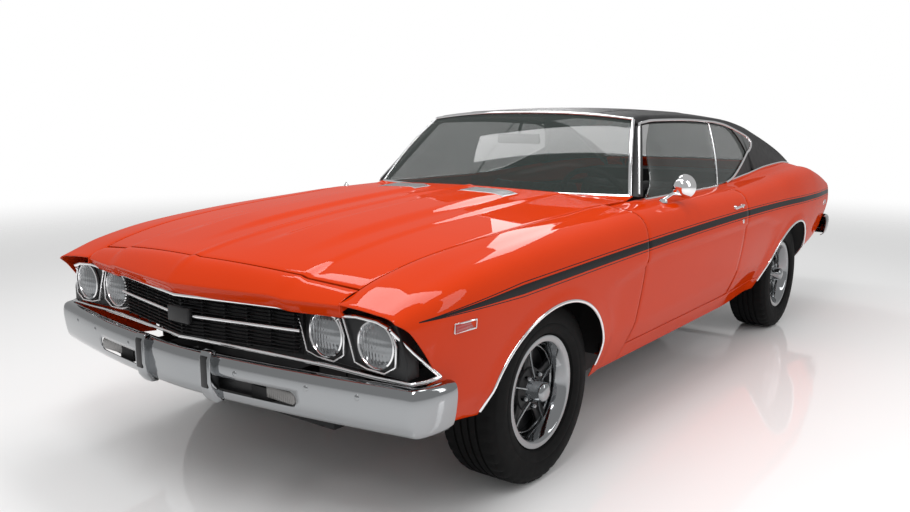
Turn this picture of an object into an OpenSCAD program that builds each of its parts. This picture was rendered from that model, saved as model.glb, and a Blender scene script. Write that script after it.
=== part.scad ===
// Two-door hardtop coupe of the late 1960s, full size, in millimetres.
// The car faces -Y, its left (driver's) side is +X, the ground is z = 0.

/* [Chassis] */
// Distance between the axles
wheelbase = 2845; // [2830:1:2860]
// Front axle, measured ahead of the middle of the car
front_axle_ahead = 1578; // [1570:1:1586]
// Distance between the wheel centre planes
track = 1499; // [1490:1:1505]
// Outer diameter of a tyre
tyre_d = 663; // [650:1:672]
// Width of a tyre over its sidewalls
tyre_w = 236; // [215:1:240]
// Width of the rim over its lips
rim_w = 204; // [190:1:208]
// Outer diameter of the rim lip
rim_d = 412; // [400:1:416]
// Diameter of the wheel spindles
spindle_d = 44; // [36:1:50]
// Distance of the steering axis inside the wheel centre plane
king_pin_offset = 58; // [54:1:62]
// Diameter of the steering knuckle post
king_pin_d = 40; // [34:1:44]
// Greatest steering angle of a front wheel
steer_angle = 33; // [25:1:34]
// Running clearance on pins and spindles
fit = 0.1; // [0.05:0.01:0.15]

/* [Body] */
// Half width of the body at its widest line
half_w = 952; // [940:1:960]
// Height of the belt line at the doors
belt_z = 935; // [925:1:945]
// Height of the widest line at the door
waist_z = 750; // [740:1:760]
// Height of the crease above the rocker at the door
rocker_z = 467; // [455:1:480]
// Height of the lower edge of the rocker
sill_z = 288; // [280:1:296]
// Height of the roof at its crown
roof_z = 1343; // [1335:1:1350]
// Front edge of the door, ahead of the middle of the car
door_ahead = 935; // [930:1:940]
// Length of the door
door_l = 1226; // [1215:1:1235]
// Thickness of a door at its waist
door_t = 158; // [150:1:165]
// Height of the lower edge of the door
door_bottom_z = 372; // [366:1:380]
// Gap between a moving panel and its neighbours
gap = 7; // [6:0.5:8]
// Thickness of the outer panels
skin = 5; // [4:0.5:7]
// Thickness of the roof and its pillars
roof_t = 24; // [20:1:28]
// Thickness of the glass
glass_t = 5; // [4:0.5:6]
// Half width of the wheel openings along the car
arch_half_l = 388; // [382:1:394]
// Height of the wheel openings above the wheel centre
arch_h = 336; // [330:1:345]
// Clearance between pieces that are seated on each other
seat = 0.3; // [0.2:0.05:0.5]

/* [Hinges] */
// Diameter of the hinge pins
hinge_pin_d = 14; // [12:1:15]
// Door hinge axis ahead of the door's front edge
door_hinge_ahead = 60; // [58:1:64]
// Door hinge axis inside the widest line
door_hinge_in = 47; // [45:1:50]

/* [Cabin] */
// Diameter of the steering wheel
steering_wheel_d = 390; // [370:1:400]
// Sideways place of the driver
driver_x = 370; // [360:1:380]
// Slope of the steering column from level
column_slope = 24; // [20:1:28]

/* [Hidden] */
$fn = 48;
front_axle_y = -front_axle_ahead;
rear_axle_y = front_axle_y + wheelbase;
wheel_x = track / 2;
wheel_z = tyre_d / 2;
king_pin_x = wheel_x - king_pin_offset;
door_front_y = -door_ahead;
door_rear_y = door_front_y + door_l;
hinge_x = half_w - door_hinge_in;
hinge_y = door_front_y - door_hinge_ahead;
w = half_w;
// Underside of the floor, on top of the frame rails
floor_z = 290;

// Lines along the left side of the body. Each row is a station:
// y, hood or roof edge x and z, crown x and z, widest line x and z, rocker line x and z, lower edge x and z
BODY = [
    [-2385, 655, 766, 800, 758, w - 70, 700, w - 76, 520, w - 84, 440],
    [-2217, 668, 822, 805, 812, w - 38, 720, w - 62, 478, w - 88, 402],
    [-1990, 686, 864, 808, 855, w - 18, 733, w - 52, 458, w - 100, 368],
    [front_axle_y - 22, 708, 900, 806, 892, w - 7, 743, w - 48, 460, w - 112, 330],
    [door_front_y - 270, 726, 922, 802, 914, w - 3, waist_z - 2, w - 45, rocker_z - 4, w - 120, sill_z + 4],
    [door_front_y, 740, 937, 797, 927, w - 1, waist_z, w - 41, rocker_z, w - 124, sill_z],
    [-320, 752, belt_z + 4, 792, belt_z, w, waist_z + 8, w - 38, rocker_z + 13, w - 125, sill_z],
    [door_rear_y, 752, belt_z + 4, 792, belt_z, w - 1, waist_z + 15, w - 38, rocker_z + 25, w - 126, sill_z],
    [838, 742, 968, 800, 950, w - 2, waist_z + 23, w - 60, rocker_z + 16, w - 148, sill_z + 12],
    [rear_axle_y, 720, 994, 802, 974, w + 2, waist_z + 28, w - 54, rocker_z + 10, w - 146, 336],
    [1650, 702, 1002, 798, 983, w - 14, waist_z + 24, w - 66, 480, w - 140, 370],
    [1890, 684, 988, 798, 950, w - 36, waist_z + 14, w - 86, 492, w - 148, 400],
    [2200, 648, 912, 806, 888, w - 78, waist_z - 12, w - 116, 528, w - 162, 448],
    [2400, 640, 862, 812, 838, w - 106, waist_z - 36, w - 140, 568, w - 172, 500],
];
TAIL_Y = 2400;
NOSE_Y = -2494;
FENDER_TIP_Y = -2385;

// Roof edge. Each row: y, x and z of the edge, z of the centre line
ROOF = [
    [-351, 588, 1284, roof_z - 27],
    [-240, 608, 1300, roof_z - 12],
    [100, 613, 1303, roof_z],
    [600, 608, 1290, roof_z - 6],
    [800, 606, 1279, roof_z - 25],
    [1108, 613, 1240, 1258],
    [1330, 628, 1188, 1190],
    [1560, 648, 1125, 1105],
    [1740, 666, 1066, 1010],
    [1890, 682, 1004, 1000],
];
ROOF_FRONT_Y = -351;
ROOF_REAR_Y = 800;
SAIL_TIP_Y = 1890;

// Centre line of the hood and of the deck. Each row: y, z
HOOD = [[-2494, 763], [-2381, 832], [-2000, 893], [-1600, 930], [-1200, 955], [-846, 968], [-700, 972]];
DECK = [[1740, 1008], [1900, 996], [2100, 958], [2300, 900], [2420, 856]];

// Smooth curve through column c of a table at y, with no overshoot
function seg(t, y, i = 0) = (i >= len(t) - 2 || y < t[i + 1][0]) ? i : seg(t, y, i + 1);
function rise(t, i, c) = (t[i + 1][c] - t[i][c]) / (t[i + 1][0] - t[i][0]);
function tangent(t, i, c) = i == 0 ? rise(t, 0, c) : i == len(t) - 1 ? rise(t, i - 1, c) :
    let(a = rise(t, i - 1, c), b = rise(t, i, c)) a * b <= 0 ? 0 : 2 * a * b / (a + b);
function along(t, c, y) = let(
    i = seg(t, y), d = t[i + 1][0] - t[i][0], s = (y - t[i][0]) / d,
    m0 = tangent(t, i, c) * d, m1 = tangent(t, i + 1, c) * d)
    t[i][c] * (2 * s ^ 3 - 3 * s ^ 2 + 1) + m0 * (s ^ 3 - 2 * s ^ 2 + s)
    + t[i + 1][c] * (3 * s ^ 2 - 2 * s ^ 3) + m1 * (s ^ 3 - s ^ 2);
function step(a, b, x) = let(s = min(1, max(0, (x - a) / (b - a)))) s * s * (3 - 2 * s);

// Closed body between two grids of points, rows along the car and columns across it
module between(a, b) {
    n = len(a);
    m = len(a[0]);
    k = n * m;
    skin_faces = [for (i = [0:n - 2], j = [0:m - 2]) let(p = i * m + j)
        each [[p, p + m, p + m + 1], [p, p + m + 1, p + 1],
              [k + p, k + p + m + 1, k + p + m], [k + p, k + p + 1, k + p + m + 1]]];
    side_faces = [for (i = [0:n - 2], e = [0, m - 1]) let(p = i * m + e)
        each e == 0 ? [[p, k + p, k + p + m], [p, k + p + m, p + m]]
                    : [[p, k + p + m, k + p], [p, p + m, k + p + m]]];
    end_faces = [for (j = [0:m - 2], e = [0, (n - 1) * m]) let(p = e + j)
        each e == 0 ? [[p, k + p + 1, k + p], [p, p + 1, k + p + 1]]
                    : [[p, k + p, k + p + 1], [p, k + p + 1, p + 1]]];
    polyhedron(points = concat([for (r = a) each r], [for (r = b) each r]),
               faces = concat(skin_faces, side_faces, end_faces), convexity = 6);
}
// Points of a grid moved inward by t, square to the surface
function inward(g, t) = let(n = len(g), m = len(g[0])) [for (i = [0:n - 1]) [for (j = [0:m - 1]) let(
    u = g[min(n - 1, i + 1)][j] - g[max(0, i - 1)][j],
    v = g[i][min(m - 1, j + 1)] - g[i][max(0, j - 1)],
    c = cross(u, v)) g[i][j] + t * c / norm(c)]];
module sheet(g, t) between(g, inward(g, t));
module both() {
    children();
    mirror([1, 0, 0]) children();
}

// Body side: section from the crown down to the widest line, and below it
function crown(y, s) = let(
    x0 = along(BODY, 3, y), z0 = along(BODY, 4, y), x1 = along(BODY, 5, y), z1 = along(BODY, 6, y),
    px = x0 + 0.75 * (x1 - x0), pz = z0 - 3, qz = z1 + 0.75 * (z0 - z1), r = 1 - s)
    [r ^ 3 * x0 + 3 * r * r * s * px + 3 * r * s * s * x1 + s ^ 3 * x1, y,
     r ^ 3 * z0 + 3 * r * r * s * pz + 3 * r * s * s * qz + s ^ 3 * z1];
function side_x(y, z) = let(
    xm = along(BODY, 5, y), zm = along(BODY, 6, y), xr = along(BODY, 7, y), zr = along(BODY, 8, y),
    xb = along(BODY, 9, y), zb = along(BODY, 10, y))
    z >= zr ? xm + (xr - xm) * (max(0, zm - z) / (zm - zr)) ^ 1.4
            : xr + (xb - xr) * ((zr - z) / (zr - zb)) ^ 1.15;
function arch_z(y, yc) = let(d = (y - yc) / arch_half_l)
    abs(d) >= 1 ? -1e6 : wheel_z + arch_h * sqrt(1 - d * d);
function lower_z(y) = max(along(BODY, 10, y), arch_z(y, front_axle_y - 22), arch_z(y, rear_axle_y));
function below(y, zl, n) = let(zm = along(BODY, 6, y), zr = max(along(BODY, 8, y), zl + 0.35 * (zm - zl)))
    concat([for (k = [1:n]) let(z = zm + (zr - zm) * k / n) [side_x(y, z), y, z]],
           [for (k = [1:2]) let(z = zr + (zl - zr) * k / 2) [side_x(y, z), y, z]]);
// Stations round a wheel opening, closer together where its edge is steep
function arch_stations(yc, n) = [for (k = [0:n]) yc - arch_half_l * cos(180 * k / n)];
function hood_edge(y) = [along(BODY, 1, y), y, along(BODY, 2, y)];
function side_row(y, zl, n) = concat([for (k = [0:5]) crown(y, k / 5)], below(y, zl, n));

// Depth of the turned-down flange along the hood and the deck lid
flange = 26;
// Front edge of a fender: notched back beside the lamps, set back behind the bumper. Each row: z, y
NOSE_CUT = [[360, -2300], [545, -2300], [563, -2235], [703, -2345], [740, FENDER_TIP_Y], [900, FENDER_TIP_Y]];
// Place along the car from which the fender is no longer drawn towards its notched edge
nose_end_y = -2060;
function nose_y(y, z) = y >= nose_end_y ? y : let(c = along(NOSE_CUT, 1, z))
    c + (y - FENDER_TIP_Y) * (nose_end_y - c) / (nose_end_y - FENDER_TIP_Y);
function fender_side(y) = let(r = side_row(y, lower_z(y), 3))
    [for (j = [0:len(r) - 1]) let(v = nose_y(y, r[j][2])) v == y ? r[j] : side_row(v, lower_z(v), 3)[j]];
module fender(side) {
    inset = gap / 2;
    seam_y = hood_front_y(660);
    ys = concat([FENDER_TIP_Y, seam_y - 4, seam_y + 4, -2180, nose_end_y], arch_stations(front_axle_y - 22, 12),
                [front_axle_y - 22 + arch_half_l + 10, -1080, door_front_y - inset]);
    g = [for (y = ys) let(h = hood_edge(y), c = crown(y, 0), hx = h[0] + (y < seam_y ? seat : inset))
        concat([[hx, y, h[2] - flange], [hx, y, h[2]], [(hx + c[0]) / 2, y, (h[2] + c[2]) / 2 + 2]],
               fender_side(y))];
    color("orangered") mirror([side < 0 ? 1 : 0, 0, 0]) sheet(g, skin);
}

module quarter(side) {
    inset = gap / 2;
    ys = concat([door_rear_y + inset, 480, 640, 780], [for (y = arch_stations(rear_axle_y, 12)) y],
                [rear_axle_y + arch_half_l + 10, 1770, SAIL_TIP_Y, 2060, 2200, 2320, TAIL_Y]);
    g = [for (y = ys) let(h = hood_edge(y), c = crown(y, 0), edge = y > SAIL_TIP_Y ? inset : 0)
        concat([[h[0] + edge, y, h[2] - flange], [h[0] + edge, y, h[2]],
                [(h[0] + edge + c[0]) / 2, y, (h[2] + c[2]) / 2 + 2]],
               side_row(y, y < 900 ? max(door_bottom_z, lower_z(y)) : lower_z(y), 3))];
    color("orangered") mirror([side < 0 ? 1 : 0, 0, 0]) sheet(g, skin);
}

// Rocker below the door, from the front fender to the rear wheel opening
sill_in_x = w - 230;
module rockers() {
    y0 = door_front_y - gap / 2 + seat;
    y1 = rear_axle_y - arch_half_l - 10;
    g = [for (k = [0:10]) let(y = y0 + (y1 - y0) * k / 10, zb = along(BODY, 10, y),
        zt = door_bottom_z - (y > door_rear_y ? seat : gap))
        [for (s = [0, 0.5, 1]) let(z = zt + (zb - zt) * s) [side_x(y, z), y, z]]];
    b = [for (r = g) [for (p = r) [sill_in_x, p[1], p[2]]]];
    color("orangered") both() between(g, b);
}

// Door: outer skin on the body side, inner face flat, end faces tapered to swing clear of the panels beside them
module door(side) {
    y0 = door_front_y + gap / 2;
    y1 = door_rear_y - gap / 2;
    ys = [for (k = [0:8]) y0 + (y1 - y0) * k / 8];
    in_x = half_w - door_t;
    g = [for (y = ys) side_row(y, door_bottom_z, 3)];
    b = [for (r = g) [for (p = r) let(x = min(p[0] - 52, in_x), taper = p[1] > y1 - 1 ? -0.2 : p[1] < y0 + 1 ? 0.37 : 0)
        [x, p[1] + taper * (p[0] - x), p[2]]]];
    color("orangered") mirror([side < 0 ? 1 : 0, 0, 0]) {
        between(g, b);
        door_straps();
    }
}
// Hinge leaves on the door: an eye on the pin, and an arm that reaches round the fender's rear edge
DOOR_HINGE_Z = [570, 790];
strap_h = 46;
eye_r = hinge_pin_d / 2 + 7;
module door_straps() {
    reach = door_hinge_ahead + gap / 2 + 52;
    for (z = DOOR_HINGE_Z) translate([hinge_x, hinge_y, z]) difference() {
        linear_extrude(strap_h) union() {
            circle(eye_r);
            polygon([[-eye_r + 1, -7], [0, 7], [-46, 18], [-58, reach], [-74, reach], [-62, 4], [-48, -7]]);
        }
        translate([0, 0, -1]) cylinder(d = hinge_pin_d + 2 * fit, h = strap_h + 2);
    }
}

// Height of the hood surface: centre peak and two raised bulges
function hood_z(x, y) = let(e = hood_edge(y), u = min(1, abs(x) / e[0]), c = along(HOOD, 1, y),
    b = 11 * step(-2300, -1900, y) * step(90, 150, abs(x)) * (1 - step(300, 380, abs(x))))
    e[2] + (c - e[2]) * (1 - u ^ 1.8) + b + 5 * (1 - step(0, 26, abs(x)));
function hood_front_y(x) = -2381 + 76 * (abs(x) / 660) ^ 1.3;
function hood_rear_y(x) = -846 + 120 * (abs(x) / 740) ^ 2;
HOOD_COLS = [-1, -0.8, -0.57, -0.46, -0.38, -0.2, -0.13, -0.035, 0, 0.035, 0.13, 0.2, 0.38, 0.46, 0.57, 0.8, 1];
hood_hinge_y = hood_rear_y(560) + 16;
hood_hinge_z = 915;
hood_hinge_x = 560;
module hood() {
    g = [for (k = [0:12]) [for (u = HOOD_COLS) let(
        x0 = u * 690, s = k / 12,
        y = hood_front_y(x0) + gap / 2 + (hood_rear_y(x0) - hood_front_y(x0) - gap / 2) * s,
        x = u * (along(BODY, 1, y) - gap / 2)) [x, y, hood_z(x, y)]]];
    color("orangered") {
        sheet(g, skin + 3);
        both() hood_arm();
    }
}
module hood_arm() {
    l = 240;
    translate([hood_hinge_x, hood_hinge_y, hood_hinge_z]) rotate([0, 90, 0]) difference() {
        union() {
            cylinder(r = eye_r, h = 12, center = true);
            translate([-26, -l, -6]) cube([18, l - 4, 12]);
            translate([-12, -14, -6]) cube([14, 16, 12]);
        }
        cylinder(d = hinge_pin_d + 2 * fit, h = 14, center = true);
    }
}

// Nose ahead of the hood: folded at its leading edge
function fold_y(x) = NOSE_Y + 109 * (abs(x) / 655) ^ 1.2;
function fold_z(x) = 763 + 3 * (abs(x) / 655);
module header_panel() {
    g = [for (k = [0:6]) [for (u = [-1:0.1:1.001]) let(
        ys = hood_front_y(u * 660) - gap / 2, xs = u * along(BODY, 1, ys),
        yf = fold_y(u * 655), xf = u * along(BODY, 1, FENDER_TIP_Y))
        k == 0 ? [xf * 0.994, yf + 34, fold_z(xf) - 44] : k == 1 ? [xf, yf + 6, fold_z(xf) - 14] :
        let(r = (k - 2) / 4, y = yf + (ys - yf) * r, x = xf + (xs - xf) * r)
            [x, y, fold_z(x) + (hood_z(xs, ys) - fold_z(x)) * sin(90 * r) ^ 0.9]]];
    color("orangered") sheet(g, skin);
}

// Cowl between the hood and the windshield, seated on the firewall
function glass_base(u) = [u * 722, -800 + 152 * u * u, 950];
function glass_top(u) = [u * 588, ROOF_FRONT_Y - 48 * (1 - u * u), 1284 + (roof_z - 27 - 1284) * (1 - abs(u) ^ 2.4)];
firewall_y = -905;
// Height of the cowl gutter above the firewall
cowl_z = 862;
// Height of the gutter's rear edge above its floor
cowl_lip = 27;
module cowl_panel() {
    g = [for (k = [0:3]) [for (u = [-1:0.125:1.001]) let(p = glass_base(u), yr = hood_rear_y(u * 735) + gap)
        k == 0 ? [u * 735, firewall_y + 4, cowl_z] : k == 1 ? [u * 735, firewall_y + 30, cowl_z + 2] :
        k == 2 ? [u * 735, yr + 9, cowl_z + cowl_lip] : [u * 735, p[1] + 4, p[2] - seat]]];
    color("orangered") sheet(g, skin);
}

module windshield() {
    g = [for (k = [0:6]) [for (u = [-1:0.125:1.001]) let(s = k / 6, a = glass_base(u), b = glass_top(u),
        foot = a + [0, 2, 0.7 * glass_t + seat]) foot + (b - [0, 2, 4] - foot) * s + [0, -10, 16] * sin(180 * s)]];
    color("lightsteelblue") sheet(g, glass_t);
}

// Greenhouse side: x of the side glass and of the rear pillar at y, z
function belt_x(y) = along([[-700, 772], [0, 776], [348, 770], [838, 742], [1267, 719], [1650, 702], [1890, 684]], 1, y);
function green_x(y, z) = let(ze = along(ROOF, 2, y), xe = along(ROOF, 1, y), zb = belt_z + 4,
    s = min(1.05, max(-0.05, (z - zb) / (ze - zb))))
    belt_x(y) + (xe - belt_x(y)) * s + 14 * (4 * s * (1 - s)) * step(1900, 900, y);
// Lower edge of the rear pillar: down the rear of the quarter window, then along the body
sail_foot_y = 1010;
function sail_low(y) = y >= sail_foot_y ? along(BODY, 2, y) + seat :
    along([[650, 1288], [760, 1268], [884, 1226], [960, 1150], [1000, 1060], [sail_foot_y, 1000]], 1, y);
// Lower edge of the roof rail above the side glass
function rail_low(y) = y <= 650 ? along(ROOF, 2, y) - 30 : min(along(ROOF, 2, y) - 30, sail_low(y));
module roof() {
    xs = [-1, -0.85, -0.6, -0.3, 0, 0.3, 0.6, 0.85, 1];
    top = [for (y = [ROOF_FRONT_Y, -240, -60, 150, 350, 550, 650, 720, ROOF_REAR_Y])
        let(xe = along(ROOF, 1, y), ze = along(ROOF, 2, y), zc = along(ROOF, 3, y), zl = rail_low(y),
            bow = y == ROOF_FRONT_Y ? 48 : 0)
        concat([for (z = [zl, (zl + ze) / 2]) [-green_x(y, z) - 3, y, z]],
               [for (u = xs) [u * xe, y - bow * (1 - u * u), ze + (zc - ze) * (1 - abs(u) ^ 2.4)]],
               [for (z = [(zl + ze) / 2, zl]) [green_x(y, z) + 3, y, z]])];
    inner = inward(top, roof_t);
    last = len(top[0]) - 1;
    level = [for (i = [0:len(top) - 1]) [for (j = [0:last])
        j == 0 || j == last ? [inner[i][j][0], inner[i][j][1], top[i][j][2]] : inner[i][j]]];
    color([0.12, 0.12, 0.12]) between(top, level);
}
// Rear pillar: it leans in to the roof, and its lower edge flares out onto the quarter panel
module rear_pillars() {
    foot_ys = [for (y = arch_stations(rear_axle_y, 12)) if (y > sail_foot_y + 20) y];
    sail = [for (y = concat([ROOF_REAR_Y + seat, 850, 900, 945, 978, 1000, sail_foot_y], foot_ys,
                            [rear_axle_y + arch_half_l + 10, 1770, SAIL_TIP_Y]))
        let(ze = along(ROOF, 2, y), zl = min(sail_low(y), ze - 3),
            flare = y < sail_foot_y ? 0 : along(BODY, 1, y) + skin - green_x(y, zl))
        [for (k = [0:5]) let(z = ze + (zl - ze) * k / 5) [green_x(y, z) + flare * (k / 5) ^ 2, y, z]]];
    inner = [for (r = sail) [for (p = r) p - [roof_t, 0, 0]]];
    color([0.12, 0.12, 0.12]) both() between(sail, inner);
}
module windshield_pillars() {
    a = glass_base(1);
    b = glass_top(1);
    color("orangered") both() hull() {
        translate([a[0], a[1] + 7 + seat, a[2] - 5]) cube([46, 40, 4]);
        translate([b[0] - 2, b[1] - 11, rail_low(ROOF_FRONT_Y) - 4 - seat]) cube([36, 44, 4]);
    }
}

module rear_window() {
    g = [for (k = [0:8]) let(y = ROOF_REAR_Y + seat + (1738 - ROOF_REAR_Y) * k / 8,
        ze = along(ROOF, 2, y) - 5 - 60 * step(1100, 1740, y), xe = green_x(y, ze) - roof_t - 3, zc = along(ROOF, 3, y))
        [for (u = [-1:0.125:1.001]) [u * xe, y, ze + (zc - ze) * (1 - abs(u) ^ 2.2)]]];
    color("lightsteelblue") sheet(g, glass_t);
}

// Side glass: a patch of the greenhouse side between two slanted ends, the rear one bowed
module side_glass(y0, y1, t0, t1, bow, base, top) {
    g = [for (k = [0:8]) let(s = k / 8, yb = y0 + (y1 - y0) * s, yt = t0 + (t1 - t0) * s)
        [for (r = [0:4]) let(f = 1 - r / 4, y = yb + (yt - yb) * f + bow * s * s * 4 * f * (1 - f),
            z0 = along(BODY, base, yb) + 3 * seat, z1 = top(yt), z = z0 + (z1 - z0) * f) [green_x(y, z), y, z]]];
    between(g, [for (r = g) [for (p = r) p - [glass_t, 0, 0]]]);
}
module door_glass(side)
    color("lightsteelblue") mirror([side < 0 ? 1 : 0, 0, 0])
        side_glass(-600, door_rear_y - gap / 2, -258, 498, 0, 4, function(y) rail_low(y) - 6);
module quarter_glass()
    color("lightsteelblue") both()
        side_glass(door_rear_y + gap, 985, 510, 872, 45, 2, function(y) rail_low(y) - 6);

// Panel between the rear window and the deck lid
function deck_z(x, y) = let(e = hood_edge(y), u = min(1, abs(x) / e[0]), c = along(DECK, 1, y))
    e[2] + (c - e[2]) * (1 - u ^ 2.2);
deck_front_y = SAIL_TIP_Y + 6;
module deck_filler() {
    g = [for (k = [0:3]) [for (u = [-1:0.125:1.001]) let(y = 1739 + (deck_front_y - 1739) * k / 3,
        x = u * (along(BODY, 1, y) - seat)) [x, y, deck_z(x, y) - 3 * abs(u) ^ 6]]];
    color("orangered") sheet(g, skin);
}
deck_rear_y = 2388;
deck_hinge_y = deck_front_y - 34;
deck_hinge_x = 520;
deck_hinge_z = 970;
module deck_lid() {
    y0 = deck_front_y + gap + 2;
    g = [for (k = [0:6]) [for (u = [-1:0.125:1.001]) let(y = y0 + (deck_rear_y - y0) * k / 6 + (k == 0 ? 7 * u ^ 8 : 0),
        x = u * (along(BODY, 1, y) - gap / 2)) [x, y, deck_z(x, y)]]];
    color("orangered") {
        sheet(g, skin + 3);
        both() deck_arm();
    }
}
// Hinge arm of the deck lid: a gooseneck that dips below the panel ahead of the lid. Each row: y, z from the pin
GOOSENECK = [[0, 0], [34, -46], [70, -46], [104, deck_z(deck_hinge_x, deck_hinge_y + 104) - deck_hinge_z - 8]];
module deck_arm() {
    translate([deck_hinge_x, deck_hinge_y, deck_hinge_z]) rotate([90, 0, 90]) difference() {
        linear_extrude(12, center = true) union() {
            circle(eye_r);
            for (k = [0:2]) hull() for (p = [GOOSENECK[k], GOOSENECK[k + 1]]) translate(p) circle(6);
        }
        cylinder(d = hinge_pin_d + 2 * fit, h = 14, center = true);
    }
}

// Hinge pins and the brackets that hold them, for the doors, the hood and the deck lid
pillar_x = 790;
module hinge_pins() {
    color("dimgray") both() {
        for (z = DOOR_HINGE_Z) translate([hinge_x, hinge_y, z]) {
            translate([0, 0, -8]) cylinder(d = hinge_pin_d, h = strap_h + 16);
            for (zz = [-8, strap_h + 2]) translate([pillar_x + seat - hinge_x, -20, zz])
                cube([hinge_x + 14 - pillar_x - seat, 32, 6]);
        }
        translate([hood_hinge_x, hood_hinge_y, hood_hinge_z]) rotate([0, 90, 0]) {
            cylinder(d = hinge_pin_d, h = 34, center = true);
            for (s = [-13, 13]) translate([-10, -14, s - 3]) cube([hood_hinge_z - cowl_z - cowl_lip - seat + 10, 9.5, 6]);
        }
        rise = deck_z(deck_hinge_x + 16, deck_hinge_y) - skin - 1 - deck_hinge_z;
        translate([deck_hinge_x, deck_hinge_y, deck_hinge_z]) rotate([0, 90, 0]) {
            cylinder(d = hinge_pin_d, h = 34, center = true);
            for (s = [-13, 13]) translate([-rise, -14, s - 3]) cube([rise + 10, 14, 6]);
        }
    }
}

// Tyre and wheel, axis along X, outer face towards +X
module tyre_body() {
    r = tyre_d / 2;
    h = tyre_w / 2;
    rb = rim_d / 2;
    ri = rb - 16;
    bead = rim_w / 2 - 8 - seat;
    half = [[ri, bead - 4], [rb + seat, bead], [rb + 6, h - 10], [rb + 24, h - 2], [rb + 54, h], [r - 30, h - 6],
            [r - 9, h - 18], [r, h - 34]];
    rotate([0, 90, 0]) rotate_extrude() polygon(concat([for (p = half) [p[0], -p[1]]],
        [for (k = [len(half) - 1:-1:0]) half[k]]));
}
hub_x0 = -22;
module wheel_body() {
    r = rim_d / 2;
    h = rim_w / 2;
    ri = r - 16 - seat;
    difference() {
        union() {
            rotate([0, 90, 0]) rotate_extrude() polygon([
                [ri, -h + 12], [r, -h + 8], [r, -h], [r - 8, -h], [ri - 12, -h + 16], [ri - 14, -30], [ri - 30, -10],
                [ri - 30, 28], [ri - 14, 50], [ri - 12, h - 14], [r - 8, h], [r, h], [r, h - 8], [ri, h - 12],
                [ri, 52], [ri - 18, 30], [ri - 18, -8], [ri, -28]]);
            rotate([0, 90, 0]) translate([0, 0, hub_x0]) cylinder(r = 62, h = 82);
            rotate([0, 90, 0]) translate([0, 0, 60]) cylinder(r1 = 44, r2 = 36, h = 62);
            for (a = [0:72:359]) rotate([a, 0, 0]) rotate([0, 90, 0]) translate([0, 0, 34])
                linear_extrude(20) polygon([[50, -26], [ri - 18, -44], [ri - 18, 44], [50, 26]]);
            for (a = [36:72:359]) rotate([a, 0, 0]) translate([58, 60.3, 0]) rotate([0, 90, 0])
                cylinder(r = 10, h = 18);
        }
        rotate([0, 90, 0]) translate([0, 0, hub_x0 - 1]) cylinder(d = spindle_d + 2 * fit, h = 90);
    }
}
// The four corners, each: sideways sign, place along the car
module at_wheel(sx, y) translate([sx * wheel_x, y, wheel_z]) mirror([sx < 0 ? 1 : 0, 0, 0]) children();
module tyre_fl() color([0.1, 0.1, 0.1]) at_wheel(1, front_axle_y) tyre_body();
module tyre_fr() color([0.1, 0.1, 0.1]) at_wheel(-1, front_axle_y) tyre_body();
module tyre_rl() color([0.1, 0.1, 0.1]) at_wheel(1, rear_axle_y) tyre_body();
module tyre_rr() color([0.1, 0.1, 0.1]) at_wheel(-1, rear_axle_y) tyre_body();
module wheel_fl() color("silver") at_wheel(1, front_axle_y) wheel_body();
module wheel_fr() color("silver") at_wheel(-1, front_axle_y) wheel_body();
module wheel_rl() color("silver") at_wheel(1, rear_axle_y) wheel_body();
module wheel_rr() color("silver") at_wheel(-1, rear_axle_y) wheel_body();

// Steering knuckle: post on the steering axis, spindle, brake backing plate
knuckle_low_z = wheel_z - 128;
knuckle_high_z = wheel_z + 118;
arm_h = 34;
module knuckle(side) color("dimgray") mirror([side < 0 ? 1 : 0, 0, 0]) {
    translate([king_pin_x, front_axle_y, knuckle_low_z]) cylinder(d = king_pin_d, h = knuckle_high_z - knuckle_low_z);
    translate([king_pin_x, front_axle_y, wheel_z]) rotate([0, 90, 0]) {
        cylinder(d = spindle_d + 20, h = 24);
        cylinder(d = spindle_d, h = king_pin_offset + 50);
    }
    translate([wheel_x + hub_x0 - 18, front_axle_y, wheel_z]) rotate([0, 90, 0]) cylinder(r = 76, h = 8);
}
module control_arm(z, inner_x, spread) translate([king_pin_x, front_axle_y, z]) difference() {
    reach = king_pin_x - inner_x;
    union() {
        cylinder(d = king_pin_d + 26, h = arm_h);
        linear_extrude(arm_h) polygon([[-4, 30], [-reach, spread + 15], [-reach, spread - 15], [-90, 0],
            [-reach, 15 - spread], [-reach, -15 - spread], [-4, -30]]);
    }
    translate([0, 0, -1]) cylinder(d = king_pin_d + 2 * fit, h = arm_h + 2);
}
module suspension() color("dimgray") {
    both() {
        control_arm(knuckle_low_z, 341, 44);
        control_arm(knuckle_high_z - arm_h, 401, 70);
        // Rear trailing arm, from the frame to the axle tube
        translate([500, kick_y + 90 + seat, 270]) cube([40, rear_axle_y - 34 - kick_y - 90 - 2 * seat, 44]);
    }
}
module rear_axle() color("dimgray") {
    plate_x = wheel_x + hub_x0 - 18;
    end_x = wheel_x + 50;
    half = [[140, 40], [100, 95], [38, 130], [38, plate_x], [138, plate_x], [138, plate_x + 8], [spindle_d / 2, plate_x + 8],
            [spindle_d / 2, end_x], [0, end_x]];
    translate([0, rear_axle_y, wheel_z]) rotate([0, 90, 0]) rotate_extrude()
        polygon(concat([for (k = [len(half) - 1:-1:0]) [half[k][0], -half[k][1]]], half));
}
module drive_shaft() color("dimgray")
    translate([0, -560 + seat, wheel_z]) rotate([-90, 0, 0]) cylinder(d = 76, h = rear_axle_y + 560 - 140 - 2 * seat);
module engine() color("slategray") {
    translate([-270, -1490, 330]) cube([540, 560, 420]);
    translate([-130, -1560, 262 + seat]) cube([260, 500, 80]);
    translate([-130, -930, 250]) cube([260, 370, 205]);
    translate([0, -1260, 750]) cylinder(r = 170, h = 80);
}
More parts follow.
